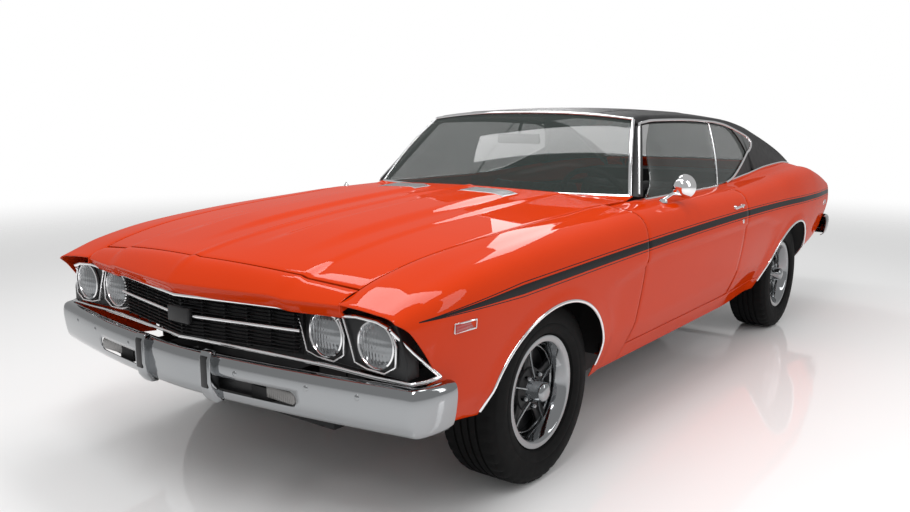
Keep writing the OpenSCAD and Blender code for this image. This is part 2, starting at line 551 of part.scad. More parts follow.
module radiator() color([0.15, 0.15, 0.15]) {
    translate([-400, -2090 + seat, 262 + rail_h + seat]) cube([800, 60, 440]);
    translate([-640, lamp_y + 60 + seat, 570]) cube([1280, 15, 160]);
    both() translate([380, lamp_y + 70, 570]) cube([20, 230, 130]);
}

// Perimeter frame: side rails, front and rear rails, cross members, bumper irons and lift pads
rail_h = 100;
rail_z = floor_z - rail_h;
lift_pad_d = 90;
kick_y = 700;
LIFT_PADS = [[600, -700], [600, 560]];
module frame() color([0.2, 0.2, 0.2]) {
    both() {
        translate([560, -906, rail_z]) cube([80, kick_y + 906, rail_h]);
        translate([320, -2160, 262]) cube([80, 1180, rail_h]);
        translate([320, front_axle_y - 100, 300]) cube([80, 200, 160]);
        translate([320, -995, rail_z]) cube([320, 995 + firewall_y - seat, 190]);
        translate([400, kick_y, rail_z]) cube([240, 90, rail_h]);
        translate([400, 776, rail_z]) cube([76, 90, 310]);
        translate([400, 776, 420]) cube([76, 914, 80]);
        translate([400, 1690, 380]) cube([76, 620, 90]);
        iron_y = front_bumper_at(400 / 1120)[1] + 18 + seat;
        translate([320, iron_y, 430]) cube([80, -2100 - iron_y, 46]);
        translate([320, -2160, 300]) cube([80, 60, 176]);
        rear_iron_z = rear_bumper_at(0)[2] + 28;
        translate([400, 2250, 380]) cube([76, 60, trunk_z - 2 - 380]);
        translate([400, 2250, rear_iron_z])
            cube([76, rear_bumper_at(476 / 1030)[1] - 17 - seat - 2250, trunk_z - 2 - rear_iron_z]);
        for (p = LIFT_PADS) translate([p[0], p[1], rail_z - 12]) cylinder(d = lift_pad_d, h = 12);
    }
    translate([-341 + seat, front_axle_y - 60, 190]) cube([682 - 2 * seat, 120, 72]);
    both() translate([320, front_axle_y - 60, 240]) cube([20, 120, 40]);
    translate([-400, -2160, 262]) cube([800, 70, rail_h]);
    translate([-640, -330, 262]) cube([1280, 70, 28]);
    translate([-470, 2240, 380]) cube([940, 70, 90]);
}
module exhaust() color("gray") both() {
    translate([190, -520, 262 - 29 - seat]) rotate([-90, 0, 0]) cylinder(d = 58, h = 1130);
    translate([220, 600, 222]) rotate([-90, 0, 0]) cylinder(d = 110, h = 420);
}
module fuel_tank() color("gray") translate([-380, 1560, 368]) cube([760, 600, 150 - seat]);

// Floor with tunnel, firewall, hinge pillars, seat riser, trunk floor and rear bulkhead
floor_t = 12;
trunk_z = 518;
module floor_pan() color([0.25, 0.25, 0.25]) difference() {
    fw = sill_in_x - seat;
    union() {
        translate([-fw, firewall_y, floor_z]) cube([2 * fw, 1680, floor_t]);
        translate([-fw, firewall_y, floor_z]) cube([2 * fw, 12, cowl_z - 6 - floor_z]);
        translate([-150, firewall_y, floor_z]) cube([300, 1680, 190]);
        both() translate([724, door_front_y - 74, door_bottom_z]) cube([pillar_x - 724, 66, 518]);
        both() translate([690, door_front_y - 74, door_bottom_z]) cube([60, 112, 480]);
        translate([-560, 763, floor_z]) cube([1120, 12, trunk_z + floor_t - floor_z]);
        translate([-560, 763, trunk_z]) cube([1120, 1637, floor_t]);
        translate([-560, 1372, trunk_z]) cube([1120, 12, 420]);
        translate([-560, 1372, 930]) cube([1120, 360, 12]);
    }
    translate([-138, firewall_y - 1, floor_z - 1]) cube([276, 1690, 178]);
}
// Inner fenders at the front, wheelhouses at the rear
module wheelhouses() color([0.2, 0.2, 0.2]) both() {
    g = [for (y = [-2240, -2000, -1700, -1400, -1180, -1020]) let(h = hood_edge(y), x = h[0] + gap / 2)
        [[x, y, h[2] - flange - seat], [x - 8, y, h[2] - 60], [470, y, 760], [425, y, 640], [425, y, 470]]];
    sheet(g, skin);
    translate([0, rear_axle_y, wheel_z]) rotate([0, 90, 0]) difference() {
        translate([0, 0, 560 + seat]) cylinder(r = 400, h = 230);
        translate([0, 0, 572]) cylinder(r = 388, h = 240);
        translate([-130, -500, 500]) cube([700, 1000, 500]);
    }
}

// Grille: frame bars and vertical bars, V shaped in plan
grille_half = 462;
function grille_y(x) = -2452 + 92 * (abs(x) / 462);
module grille() color([0.15, 0.15, 0.15]) both() {
    for (z = [572, 641, 710]) grille_bar(z, 12, 22);
    for (z = [590, 607, 624, 658, 675, 692]) grille_bar(z, 4, 16);
    for (x = [0:92.4:462]) translate([max(0, x - 4), grille_y(x) + 6, 572]) cube([4, 14, 150]);
}
module grille_bar(z, h, d) translate([0, 0, z]) linear_extrude(h)
    polygon([[0, grille_y(0)], [grille_half, grille_y(grille_half)], [grille_half, grille_y(grille_half) + d],
             [0, grille_y(0) + d]]);
// Lamp bezels with two round openings each
LAMP_X = [555, 755];
lamp_d = 146;
lamp_z = 652;
lamp_y = -2340;
module lamp_bezels() color([0.12, 0.12, 0.12]) both() difference() {
    translate([grille_half + seat, lamp_y, lamp_z - 82]) cube([868 - grille_half, 60, 160]);
    for (x = LAMP_X) translate([x, lamp_y - 1, lamp_z]) rotate([-90, 0, 0]) cylinder(d = lamp_d + 2 * seat, h = 62);
}
module front_lamps() color("white") both() for (x = LAMP_X) translate([x, lamp_y + 10, lamp_z]) rotate([-90, 0, 0]) {
    cylinder(d = lamp_d, h = 46);
    translate([0, 0, -12]) cylinder(d1 = lamp_d - 50, d2 = lamp_d - 4, h = 12);
}

// Bumpers: a section swept along a plan curve. Section rows: outward, up
FRONT_SECTION = [[-34, 152], [-6, 150], [4, 128], [6, 88], [-8, 74], [-6, 30], [-30, 4]];
REAR_SECTION = [[-24, 140], [-4, 136], [4, 104], [2, 60], [-10, 20], [-34, 4]];
// Upright guards on the front bumper: sideways place, width and profile. Each row: y, z
guard_x = 176;
guard_w = 50;
GUARD = [[-2440, 395], [-2470, 398], [-2491, 424], [-2500, 470], [-2500, 545], [-2490, 570], [-2466, 572], [-2461, 530],
         [-2461, 430], [-2440, 410]];
function front_bumper_at(u) = let(a = abs(u), s = sign(u)) a < 0.8
    ? [s * a * 1120, -2482 + 118 * (a / 0.8) ^ 1.6, 402]
    : [s * (896 + 52 * sin(90 * (a - 0.8) / 0.2)), -2364 + 150 * (1 - cos(90 * (a - 0.8) / 0.2)), 402];
function rear_bumper_at(u) = let(a = abs(u), s = sign(u)) a < 0.8
    ? [s * a * 1030, 2496 - 60 * (a / 0.8) ^ 2, 462]
    : [s * (824 + 56 * sin(90 * (a - 0.8) / 0.2)), 2436 - 190 * (1 - cos(90 * (a - 0.8) / 0.2)), 462];
BUMPER_U = [-1, -0.95, -0.9, -0.85, -0.8, -0.6, -0.4, -0.2, 0, 0.2, 0.4, 0.6, 0.8, 0.85, 0.9, 0.95, 1];
module swept(sec, at, dir) {
    g = [for (u = BUMPER_U) let(p = at(u), q = at(min(1, u + 0.01)) - at(max(-1, u - 0.01)),
        n = dir * [q[1], -q[0], 0] / norm([q[0], q[1]]))
        [for (k = [0:len(sec) - 1]) p + n * sec[k][0] + [0, 0, sec[k][1]]]];
    sheet(g, 8);
}
module front_bumper() color("gainsboro") {
    swept(FRONT_SECTION, function(u) front_bumper_at(u), 1);
    both() translate([guard_x - guard_w / 2, 0, 0]) rotate([90, 0, 90]) linear_extrude(guard_w) polygon(GUARD);
}
module rear_bumper() color("gainsboro") swept(REAR_SECTION, function(u) rear_bumper_at(-u), 1);

// Tail panel: it closes the end of the body and follows its outline
tail_t = skin + 3;
tail_low_z = 545;
function tail_y(x) = TAIL_Y + seat + tail_t + 24 * (1 - (x / along(BODY, 5, TAIL_Y)) ^ 2);
module tail_panel() {
    top = hood_edge(TAIL_Y) + [40, 0, -8];
    outline = concat([top], [for (p = side_row(TAIL_Y, tail_low_z, 3)) p - [2, 0, 0]]);
    g = [for (u = [-1:0.125:1.001]) [for (p = outline) [-u * p[0], tail_y(u * p[0]), p[2]]]];
    color([0.12, 0.12, 0.12]) between(g, [for (r = g) [for (p = r) p - [0, tail_t, 0]]]);
}
module tail_lamps() color("darkred") both() translate([520, tail_y(520) + seat, 640]) cube([250, 22, 90]);

// Cabin
module front_seat() color([0.1, 0.1, 0.1]) {
    difference() {
        translate([-640, -380, floor_z + floor_t + seat]) cube([1280, 520, 250]);
        translate([-150 - seat, -400, floor_z]) cube([300 + 2 * seat, 600, 190 + seat]);
    }
    both() translate([20, 100, 540]) rotate([-14, 0, 0]) cube([610, 130, 420]);
}
module rear_seat() color([0.1, 0.1, 0.1]) {
    translate([-550, 700, trunk_z + floor_t + seat]) cube([1100, 440, 70]);
    back_t = 130;
    lean = 18;
    translate([-550, 1110, trunk_z + floor_t + seat + back_t * sin(lean)]) rotate([-lean, 0, 0]) cube([1100, back_t, 360]);
}
module dashboard() color([0.1, 0.1, 0.1]) difference() {
    translate([-690, 0, 0]) rotate([90, 0, 90]) linear_extrude(1380)
        polygon([[firewall_y + 12 + seat, 690], [firewall_y + 12 + seat, 840], [-700, 840], [-640, 930], [-560, 924],
                 [-525, 890], [-540, 760], [-640, 690]]);
    translate(wheel_centre) rotate([90 + column_slope, 0, 0]) cylinder(d = 64 + 2 * seat, h = 800);
}
wheel_centre = [driver_x, -300, 872];
module steering_column() color([0.15, 0.15, 0.15]) translate(wheel_centre) rotate([90 + column_slope, 0, 0]) {
    translate([0, 0, 30]) cylinder(d = 64, h = 600);
    cylinder(d = 26, h = 60);
}
module steering_wheel() color([0.12, 0.12, 0.12]) translate(wheel_centre) rotate([90 + column_slope, 0, 0]) difference() {
    union() {
        rotate_extrude() translate([steering_wheel_d / 2 - 14, 0]) circle(d = 28);
        translate([0, 0, -10]) cylinder(d = 90, h = 36);
        for (a = [0, 180, 270]) rotate([0, 0, a]) translate([30, -18, -5]) cube([steering_wheel_d / 2 - 50, 36, 10]);
    }
    translate([0, 0, -6]) cylinder(d = 26 + 2 * fit, h = 40);
}
// Door mirror, on the left door only: foot, arm and cone-shaped head that opens to the rear
module door_mirror() color("gainsboro") {
    foot = crown(-593, 0.2);
    head = [half_w - 58, -500, 990];
    arm = head - foot - [0, 0, 4];
    fall = crown(-593, 0.25) - crown(-593, 0.15);
    translate(foot) rotate([0, atan2(-fall[2], fall[0]), 0]) translate([0, 0, 2 * seat]) cylinder(d = 36, h = 14);
    translate(foot + [0, 0, 8]) rotate([0, acos(arm[2] / norm(arm)), atan2(arm[1], arm[0])]) cylinder(d = 14, h = norm(arm));
    translate(head + [0, -30, 0]) rotate([-90, 0, 0]) cylinder(d1 = 60, d2 = 110, h = 70);
}

frame();
floor_pan();
wheelhouses();
cowl_panel();
rockers();
fender(1);  // fender_left
fender(-1);  // fender_right
header_panel();
hood();
grille();
lamp_bezels();
front_lamps();
front_bumper();
radiator();
engine();
drive_shaft();
exhaust();
fuel_tank();
suspension();
rear_axle();
knuckle(1);  // knuckle_left
knuckle(-1);  // knuckle_right
tyre_fl();
tyre_fr();
tyre_rl();
tyre_rr();
wheel_fl();
wheel_fr();
wheel_rl();
wheel_rr();
windshield();
roof();
rear_pillars();
windshield_pillars();
rear_window();
quarter(1);  // quarter_left
quarter(-1);  // quarter_right
quarter_glass();
deck_filler();
deck_lid();
tail_panel();
tail_lamps();
rear_bumper();
door(1);  // door_left
door(-1);  // door_right
door_glass(1);  // door_glass_left
door_glass(-1);  // door_glass_right
hinge_pins();
door_mirror();
front_seat();
rear_seat();
dashboard();
steering_column();
steering_wheel();
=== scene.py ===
"""Late-1960s two-door hardtop coupe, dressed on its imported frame. Metres; front is -Y, left side is +X."""
import math

import bpy
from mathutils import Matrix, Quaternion, Vector


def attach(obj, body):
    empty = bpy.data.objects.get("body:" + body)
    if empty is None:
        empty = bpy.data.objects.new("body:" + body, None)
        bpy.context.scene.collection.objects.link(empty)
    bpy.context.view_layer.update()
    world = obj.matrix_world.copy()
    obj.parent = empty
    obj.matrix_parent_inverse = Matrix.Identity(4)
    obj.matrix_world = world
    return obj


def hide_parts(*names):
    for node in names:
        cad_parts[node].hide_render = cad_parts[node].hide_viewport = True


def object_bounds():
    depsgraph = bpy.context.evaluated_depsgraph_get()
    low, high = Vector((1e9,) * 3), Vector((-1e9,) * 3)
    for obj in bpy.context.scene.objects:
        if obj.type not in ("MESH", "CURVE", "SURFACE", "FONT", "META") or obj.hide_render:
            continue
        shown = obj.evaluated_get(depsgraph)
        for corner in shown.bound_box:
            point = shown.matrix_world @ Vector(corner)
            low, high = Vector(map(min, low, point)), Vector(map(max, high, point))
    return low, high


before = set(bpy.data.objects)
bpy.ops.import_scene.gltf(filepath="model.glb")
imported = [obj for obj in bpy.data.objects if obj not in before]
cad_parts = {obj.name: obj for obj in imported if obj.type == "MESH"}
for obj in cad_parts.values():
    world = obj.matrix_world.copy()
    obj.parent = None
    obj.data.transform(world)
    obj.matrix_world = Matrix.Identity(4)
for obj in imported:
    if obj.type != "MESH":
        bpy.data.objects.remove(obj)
cad_low, cad_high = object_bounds()
bpy.ops.object.select_all(action="DESELECT")


# Camera: a moderately wide lens at chest height, off the car's front left corner, as the studio picture was
# taken.
AZIMUTH, ELEVATION, ROLL = math.radians(36.914), math.radians(9.485), math.radians(0.178)
FOCAL_PX, FRAME_PX, SENSOR_MM = 833.0, 910, 36.0
bpy.ops.object.camera_add(location=(2.3027, -4.0277, 1.2909))
camera = bpy.context.object
camera.data.sensor_width = SENSOR_MM
camera.data.lens = SENSOR_MM * FOCAL_PX / FRAME_PX
towards_camera = Vector((math.sin(AZIMUTH) * math.cos(ELEVATION), -math.cos(AZIMUTH) * math.cos(ELEVATION),
                         math.sin(ELEVATION)))
camera.rotation_mode = "QUATERNION"
camera.rotation_quaternion = (-towards_camera).to_track_quat("-Z", "Y") @ Quaternion((0, 0, 1), ROLL)
bpy.context.scene.camera = camera


# Studio: a seamless pale gloss floor that runs out into white, four strip softboxes overhead and white
# surroundings. Its floor is the first surface with a finish, so the shader maths that the finishes share is
# defined here.
class Shade:
    """A socket of a node tree. Each operator adds a Math node, and node() adds any other node."""

    def __init__(self, tree, socket=None):
        self.tree, self.socket = tree, socket

    def node(self, kind, settings=None, sockets=None, out=0):
        made = self.tree.nodes.new(kind)
        for key, value in (settings or {}).items():
            setattr(made, key, value)
        self.feed(made, sockets or {})
        return Shade(self.tree, made.outputs[out])

    def feed(self, made, sockets):
        for key, value in sockets.items():
            if isinstance(value, Shade):
                self.tree.links.new(value.socket, made.inputs[key])
            else:
                made.inputs[key].default_value = value

    def math(self, operation, *values):
        return self.node("ShaderNodeMath", {"operation": operation}, dict(enumerate(values)))

    def __add__(self, other):
        return self.math("ADD", self, other)

    def __radd__(self, other):
        return self.math("ADD", other, self)

    def __sub__(self, other):
        return self.math("SUBTRACT", self, other)

    def __rsub__(self, other):
        return self.math("SUBTRACT", other, self)

    def __mul__(self, other):
        return self.math("MULTIPLY", self, other)

    def __rmul__(self, other):
        return self.math("MULTIPLY", other, self)

    def __lt__(self, other):
        return self.math("LESS_THAN", self, other)

    def __gt__(self, other):
        return self.math("GREATER_THAN", self, other)

    def __abs__(self):
        return self.math("ABSOLUTE", self)

    def mix(self, low, high):
        """Colour from low to high as this value goes from 0 to 1."""
        return self.node("ShaderNodeMix", {"data_type": "RGBA"}, {0: self, 6: low, 7: high}, 2)

    def place(self):
        """Object coordinates as a vector and as its three numbers."""
        spot = self.node("ShaderNodeTexCoord", out=3)
        apart = self.node("ShaderNodeSeparateXYZ", None, {0: spot}).socket.node
        return spot, *(Shade(self.tree, apart.outputs[k]) for k in range(3))

    def noise(self, spot, scale, detail=2.0):
        return self.node("ShaderNodeTexNoise", None, {"Vector": spot, "Scale": scale, "Detail": detail})

    def bump(self, height, strength, distance):
        return self.node("ShaderNodeBump", None,
                         {"Height": height, "Strength": strength, "Distance": distance})


def new_finish(name, **constants):
    """A material with these constants on its shader; returns it, its maths and its shader node."""
    finish = bpy.data.materials.new(name)
    finish.use_nodes = True
    shader = finish.node_tree.nodes["Principled BSDF"]
    shade = Shade(finish.node_tree)
    shade.feed(shader, {key.replace("_", " "): value for key, value in constants.items()})
    return finish, shade, shader


FLOOR_R, FLOOR_FADE_FROM, FLOOR_FADE_TO = 40.0, 4.5, 11.0
bpy.ops.mesh.primitive_circle_add(vertices=96, radius=FLOOR_R, fill_type="NGON", location=(0, 0, -0.0005))
floor = bpy.context.object
floor.name = "studio_floor"
floor_finish, shade, shader = new_finish("studio_floor", Base_Color=(0.92, 0.92, 0.92, 1), Roughness=0.05)
spot, x, y, z = shade.place()
far = shade.math("SQRT", x * x + y * y)
fade = shade.node("ShaderNodeMapRange", {"interpolation_type": "SMOOTHSTEP"},
                  {0: far, 1: FLOOR_FADE_FROM, 2: FLOOR_FADE_TO})
clear = shade.node("ShaderNodeBsdfTransparent")
floor_out = shade.tree.nodes["Material Output"]
shade.feed(floor_out, {0: shade.node("ShaderNodeMixShader", None,
                                     {0: fade, 1: Shade(shade.tree, shader.outputs[0]),
                                                                  2: clear})})
floor.data.materials.append(floor_finish)

world = bpy.data.worlds.new("studio")
world.use_nodes = True
bpy.context.scene.world = world
shade = Shade(world.node_tree)
background = world.node_tree.nodes["Background"]
light_path = world.node_tree.nodes.new("ShaderNodeLightPath")
# Strength of the surroundings: the least, and what is added for light on surfaces, for reflections and in
# the picture
LEAST_GLOW, LIT_GLOW, MIRROR_GLOW, SEEN_GLOW = 0.20, 0.55, 0.25, 0.80
camera_ray, through_ray, diffuse_ray, glossy_ray = (
    Shade(shade.tree, light_path.outputs[f"Is {kind} Ray"])
    for kind in ("Camera", "Transmission", "Diffuse", "Glossy"))
seen = shade.math("MAXIMUM", camera_ray, through_ray)
glow = LEAST_GLOW + LIT_GLOW * diffuse_ray + MIRROR_GLOW * glossy_ray + SEEN_GLOW * seen
shade.feed(background, {"Color": (1, 1, 1, 1), "Strength": glow})

# Each softbox: name, place, aim, width, length, watts
SOFTBOXES = (("key", (1.3, -3.4, 4.2), (0.2, -1.2, 0.8), 0.9, 3.0, 70),
             ("top", (-0.6, -0.4, 4.6), (0.0, -0.4, 0.9), 1.0, 4.2, 80),
             ("side", (4.6, 0.6, 3.2), (0.6, 0.4, 0.6), 0.8, 4.0, 40),
             ("rear", (-2.6, 4.2, 3.8), (0.0, 1.2, 0.8), 1.0, 3.0, 45))
for name, location, aim, width, length, watts in SOFTBOXES:
    bpy.ops.object.light_add(type="AREA", location=location)
    box = bpy.context.object
    box.name = "softbox_" + name
    box.data.shape, box.data.size, box.data.size_y, box.data.energy = "RECTANGLE", width, length, watts
    box.rotation_mode = "QUATERNION"
    box.rotation_quaternion = (Vector(aim) - Vector(location)).to_track_quat("-Z", "Y")


# Body paint: orange-red gloss enamel with a black side stripe between two pin lines, under a clear coat.
# The stripe runs from a point behind the lamps along the shoulder to the tail.
STRIPE_LEVEL, STRIPE_SLOPE, STRIPE_BOW = 0.8053, 0.0087, -0.0093
STRIPE_TIP_Y, STRIPE_FULL_Y, STRIPE_TAIL_Y, STRIPE_IN_X = -2.315, -1.85, 2.385, 0.80
STRIPE_HALF, PIN_OFFSET, PIN_HALF = 0.0150, 0.0230, 0.0016
PAINT_DEEP, PAINT_FULL = (0.53, 0.033, 0.002, 1), (0.58, 0.039, 0.003, 1)
STRIPE_BLACK = (0.012, 0.012, 0.013, 1)
paint, shade, shader = new_finish("body_paint", Coat_Weight=0.4, Coat_Roughness=0.015, Specular_IOR_Level=0.0)
spot, x, y, z = shade.place()
middle = STRIPE_LEVEL + y * STRIPE_SLOPE + y * y * STRIPE_BOW
opening = shade.node("ShaderNodeMapRange", None, {0: y, 1: STRIPE_TIP_Y, 2: STRIPE_FULL_Y, 3: 0.0, 4: 1.0})
away = abs(z - middle)
band = away < opening * STRIPE_HALF
pins = abs(away - opening * PIN_OFFSET) < PIN_HALF
on_side = (abs(x) > STRIPE_IN_X) * (y > STRIPE_TIP_Y) * (y < STRIPE_TAIL_Y)
stripe = shade.math("MAXIMUM", band, pins) * on_side
cloud = shade.noise(spot, 2.5)
red = cloud.mix(PAINT_DEEP, PAINT_FULL)
shade.feed(shader, {"Base Color": stripe.mix(red, STRIPE_BLACK), "Roughness": 0.30 + 0.08 * cloud})
shade.feed(shader, {"Normal": shade.bump(shade.noise(spot, 340.0), 0.02, 0.0004)})


# Body sides. Pressed steel panels that follow one set of lines along the car, so that they meet flush at
# their seams. Each station: place along the car, then x and z of the hood or roof edge, crown, widest line,
# rocker line, lower edge
BODY = ((-2.385, .655, .766, .800, .758, .882, .700, .876, .520, .868, .440),
        (-2.217, .668, .822, .805, .812, .914, .720, .890, .478, .864, .402),
        (-1.990, .686, .864, .808, .855, .934, .733, .900, .458, .852, .368),
        (-1.600, .708, .900, .806, .892, .945, .743, .904, .460, .840, .330),
        (-1.205, .726, .922, .802, .914, .949, .748, .907, .463, .832, .292),
        (-.935, .740, .937, .797, .927, .951, .750, .911, .467, .828, .288),
        (-.320, .752, .939, .792, .935, .952, .758, .914, .480, .827, .288),
        (.291, .752, .939, .792, .935, .951, .765, .914, .492, .826, .288),
        (.838, .742, .968, .800, .950, .950, .773, .892, .483, .804, .300),
        (1.267, .720, .994, .802, .974, .954, .778, .898, .477, .806, .336),
        (1.650, .702, 1.002, .798, .983, .938, .774, .886, .480, .812, .370),
        (1.890, .684, .988, .798, .950, .916, .764, .866, .492, .804, .400),
        (2.200, .648, .912, .806, .888, .874, .738, .836, .528, .790, .448),
        (2.400, .640, .862, .812, .838, .846, .714, .812, .568, .780, .500))
EDGE_X, EDGE_Z, CROWN_X, CROWN_Z, WIDE_X, WIDE_Z, ROCKER_X, ROCKER_Z, LOW_X, LOW_Z = range(1, 11)
FRONT_AXLE_Y, REAR_AXLE_Y, WHEEL_X, WHEEL_Z = -1.578, 1.267, 0.7495, 0.3315
FRONT_ARCH_Y, REAR_ARCH_Y, ARCH_HALF_L, ARCH_H = -1.600, 1.267, 0.388, 0.336
NOSE_TIP_Y, DOOR_FRONT_Y, DOOR_REAR_Y, TAIL_Y = -2.385, -0.935, 0.291, 2.400
SEAM, SHEET_T = 0.0022, 0.004
SWELL, SWELL_REACH, HOLLOW = 0.007, 0.060, 0.009


def along(table, column, y):
    """Smooth curve through a column of a table at y, with no overshoot."""
    k = max(k for k in range(len(table) - 1) if k == 0 or table[k][0] <= y)
    rises = [(b[column] - a[column]) / (b[0] - a[0]) for a, b in zip(table, table[1:])]

    def tangent(n):
        if n in (0, len(rises)):
            return rises[min(n, len(rises) - 1)]
        a, b = rises[n - 1], rises[n]
        return 0.0 if a * b <= 0 else 2 * a * b / (a + b)

    span = table[k + 1][0] - table[k][0]
    s = (y - table[k][0]) / span
    return (table[k][column] * (2 * s**3 - 3 * s**2 + 1) + tangent(k) * span * (s**3 - 2 * s**2 + s)
            + table[k + 1][column] * (3 * s**2 - 2 * s**3) + tangent(k + 1) * span * (s**3 - s**2))


def ease(a, b, x):
    s = min(1.0, max(0.0, (x - a) / (b - a)))
    return s * s * (3 - 2 * s)


def crown(y, s):
    """Point on the shoulder, from its crown at s = 0 to the widest line at s = 1."""
    x0, z0, x1, z1 = (along(BODY, c, y) for c in (CROWN_X, CROWN_Z, WIDE_X, WIDE_Z))
    px, pz, qz, r = x0 + 0.75 * (x1 - x0), z0 - 0.003, z1 + 0.75 * (z0 - z1), 1 - s
    return (r**3 * x0 + 3 * r * r * s * px + 3 * r * s * s * x1 + s**3 * x1, y,
            r**3 * z0 + 3 * r * r * s * pz + 3 * r * s * s * qz + s**3 * z1)


def arch_reach(y, z, centre_y):
    """How far a point lies outside a wheel opening's edge, as a length."""
    r = math.hypot((y - centre_y) / ARCH_HALF_L, max(0.0, z - WHEEL_Z) / ARCH_H)
    return (r - 1) * ARCH_H


def side_relief(y, z):
    """Outward swell along the wheel openings, and the shallow hollow between them below the shoulder line."""
    front, rear = arch_reach(y, z, FRONT_ARCH_Y), arch_reach(y, z, REAR_ARCH_Y)
    swell = SWELL * (1 - ease(0.0, SWELL_REACH, min(abs(front), abs(rear))))
    line = 0.742 + 0.012 * (y - DOOR_FRONT_Y) - 0.060 * ease(-0.75, -1.22, y) - 0.055 * ease(0.55, 0.88, y)
    hollow = HOLLOW * ease(0.0, 0.022, line - z) * ease(0.055, 0.095, front) * ease(0.055, 0.095, rear)
    return swell - hollow * ease(-1.3, -1.1, y) * ease(0.98, 0.80, y)


def side_x(y, z):
    """How far out the side stands below the widest line."""
    xm, zm, xr, zr, xb, zb = (along(BODY, c, y) for c in range(WIDE_X, LOW_Z + 1))
    if z >= zr:
        x = xm + (xr - xm) * (max(0.0, zm - z) / (zm - zr)) ** 1.4
    else:
        x = xr + (xb - xr) * ((zr - z) / (zr - zb)) ** 1.15
    return x + side_relief(y, z) * ease(0.0, 0.03, zm - z)


def arch_z(y, centre_y):
    d = (y - centre_y) / ARCH_HALF_L
    return -9.0 if abs(d) >= 1 else WHEEL_Z + ARCH_H * math.sqrt(1 - d * d)


def lower_z(y):
    return max(along(BODY, LOW_Z, y), arch_z(y, FRONT_ARCH_Y), arch_z(y, REAR_ARCH_Y))


def side_row(y, low, shoulder=14, lower=26):
    """Points from the crown down to height low at one place along the car."""
    zm = along(BODY, WIDE_Z, y)
    heights = [zm + (low - zm) * k / lower for k in range(1, lower + 1)]
    return [crown(y, k / shoulder) for k in range(shoulder + 1)] + [(side_x(y, z), y, z) for z in heights]


def spread(a, b, n):
    return [a + (b - a) * k / n for k in range(n + 1)]


def arch_places(centre_y, n):
    """Places along a wheel opening, closer together where its edge is steep."""
    return [centre_y - 0.99999 * ARCH_HALF_L * math.cos(math.pi * k / n) for k in range(n + 1)]


def activate(piece):
    """Makes a piece the only one selected, and active."""
    bpy.ops.object.select_all(action="DESELECT")
    piece.select_set(True)
    bpy.context.view_layer.objects.active = piece


def fit(piece, finish, slot, body, *nodes):
    """Gives a piece its finish and its body, and hides the CAD nodes that it stands for. slot is not used."""
    piece.data.materials.clear()
    piece.data.materials.append(finish)
    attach(piece, body)
    if nodes:
        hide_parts(*nodes)
    return piece


def apply_modifier(piece, kind, **settings):
    """Adds a modifier with these settings and applies it at once."""
    activate(piece)
    added = piece.modifiers.new(kind.lower(), kind)
    for key, value in settings.items():
        setattr(added, key, value)
    bpy.ops.object.modifier_apply(modifier=added.name)


def new_piece(name, points, faces):
    """A mesh object of these points and faces, selected and active."""
    mesh = bpy.data.meshes.new(name)
    mesh.from_pydata(points, [], faces)
    piece = bpy.data.objects.new(name, mesh)
    bpy.context.collection.objects.link(piece)
    activate(piece)
    return piece


def face_outward(piece, merge=0.0):
    """Turns the faces of a closed piece outward, after merging points that lie within a given distance."""
    activate(piece)
    bpy.ops.object.mode_set(mode="EDIT")
    bpy.ops.mesh.select_all(action="SELECT")
    if merge:
        bpy.ops.mesh.remove_doubles(threshold=merge)
    bpy.ops.mesh.normals_make_consistent(inside=False)
    bpy.ops.object.mode_set(mode="OBJECT")


def soften(piece, edge, smooth, segments=2, sharp=60):
    """Rolls edges sharper than an angle, where a width is given, and shades smooth. Angles in degrees."""
    if edge:
        apply_modifier(piece, "BEVEL", width=edge, segments=segments, limit_method="ANGLE",
                       angle_limit=math.radians(sharp))
    activate(piece)
    bpy.ops.object.shade_smooth_by_angle(angle=math.radians(smooth))
    return piece


def grid_faces(rows, columns):
    return [(i * columns + j, i * columns + j + 1, (i + 1) * columns + j + 1, (i + 1) * columns + j)
            for i in range(rows - 1) for j in range(columns - 1)]


def shell(name, rows, thick=SHEET_T, edge=0.0012, smooth=32):
    """Sheet from a grid of points, given a thickness towards its inside and softly rolled edges."""
    piece = new_piece(name, [p for row in rows for p in row], grid_faces(len(rows), len(rows[0])))
    apply_modifier(piece, "SOLIDIFY", thickness=thick, offset=-1)
    return soften(piece, edge, smooth)


SIDES = ((1, "left"), (-1, "right"))


def handed(rows, sign):
    """A grid of the car's left side as it is, or mirrored to the right side with its faces still outward."""
    return rows if sign > 0 else [[(-x, y, z) for x, y, z in row] for row in reversed(rows)]


# Front fenders: pressed steel from the nose to the door, with the wheel opening and a slanted lamp notch.
# Each is bolted along a flange beside the hood. The front edge's rows: height, place along the car
HOOD_FLANGE, NOSE_BLEND_Y, ARCH_LIP = 0.026, -2.06, 0.004
NOSE_CUT = ((0.440, -2.300), (0.545, -2.300), (0.563, -2.235), (0.703, -2.345), (0.740, -2.385),
            (0.900, -2.385))


def nose_cut_y(z):
    """Front edge of the fender: slants back to a point behind the lamps, then forward behind the bumper."""
    for (z0, y0), (z1, y1) in zip(NOSE_CUT, NOSE_CUT[1:]):
        if z <= z1:
            return y0 + (y1 - y0) * (max(z, z0) - z0) / (z1 - z0)
    return NOSE_TIP_Y


def hood_edge(y):
    return along(BODY, EDGE_X, y), y, along(BODY, EDGE_Z, y)


def top_row(y, inset):
    """Points from the flange at the hood or roof edge out to the crown."""
    (hx, _, hz), (cx, _, cz) = hood_edge(y), crown(y, 0)
    hx += inset
    return [(hx, y, hz - HOOD_FLANGE), (hx, y, hz)] + [
        (hx + (cx - hx) * s, y, hz + (cz - hz) * s + 0.008 * s * (1 - s)) for s in (0.2, 0.4, 0.6, 0.8)]


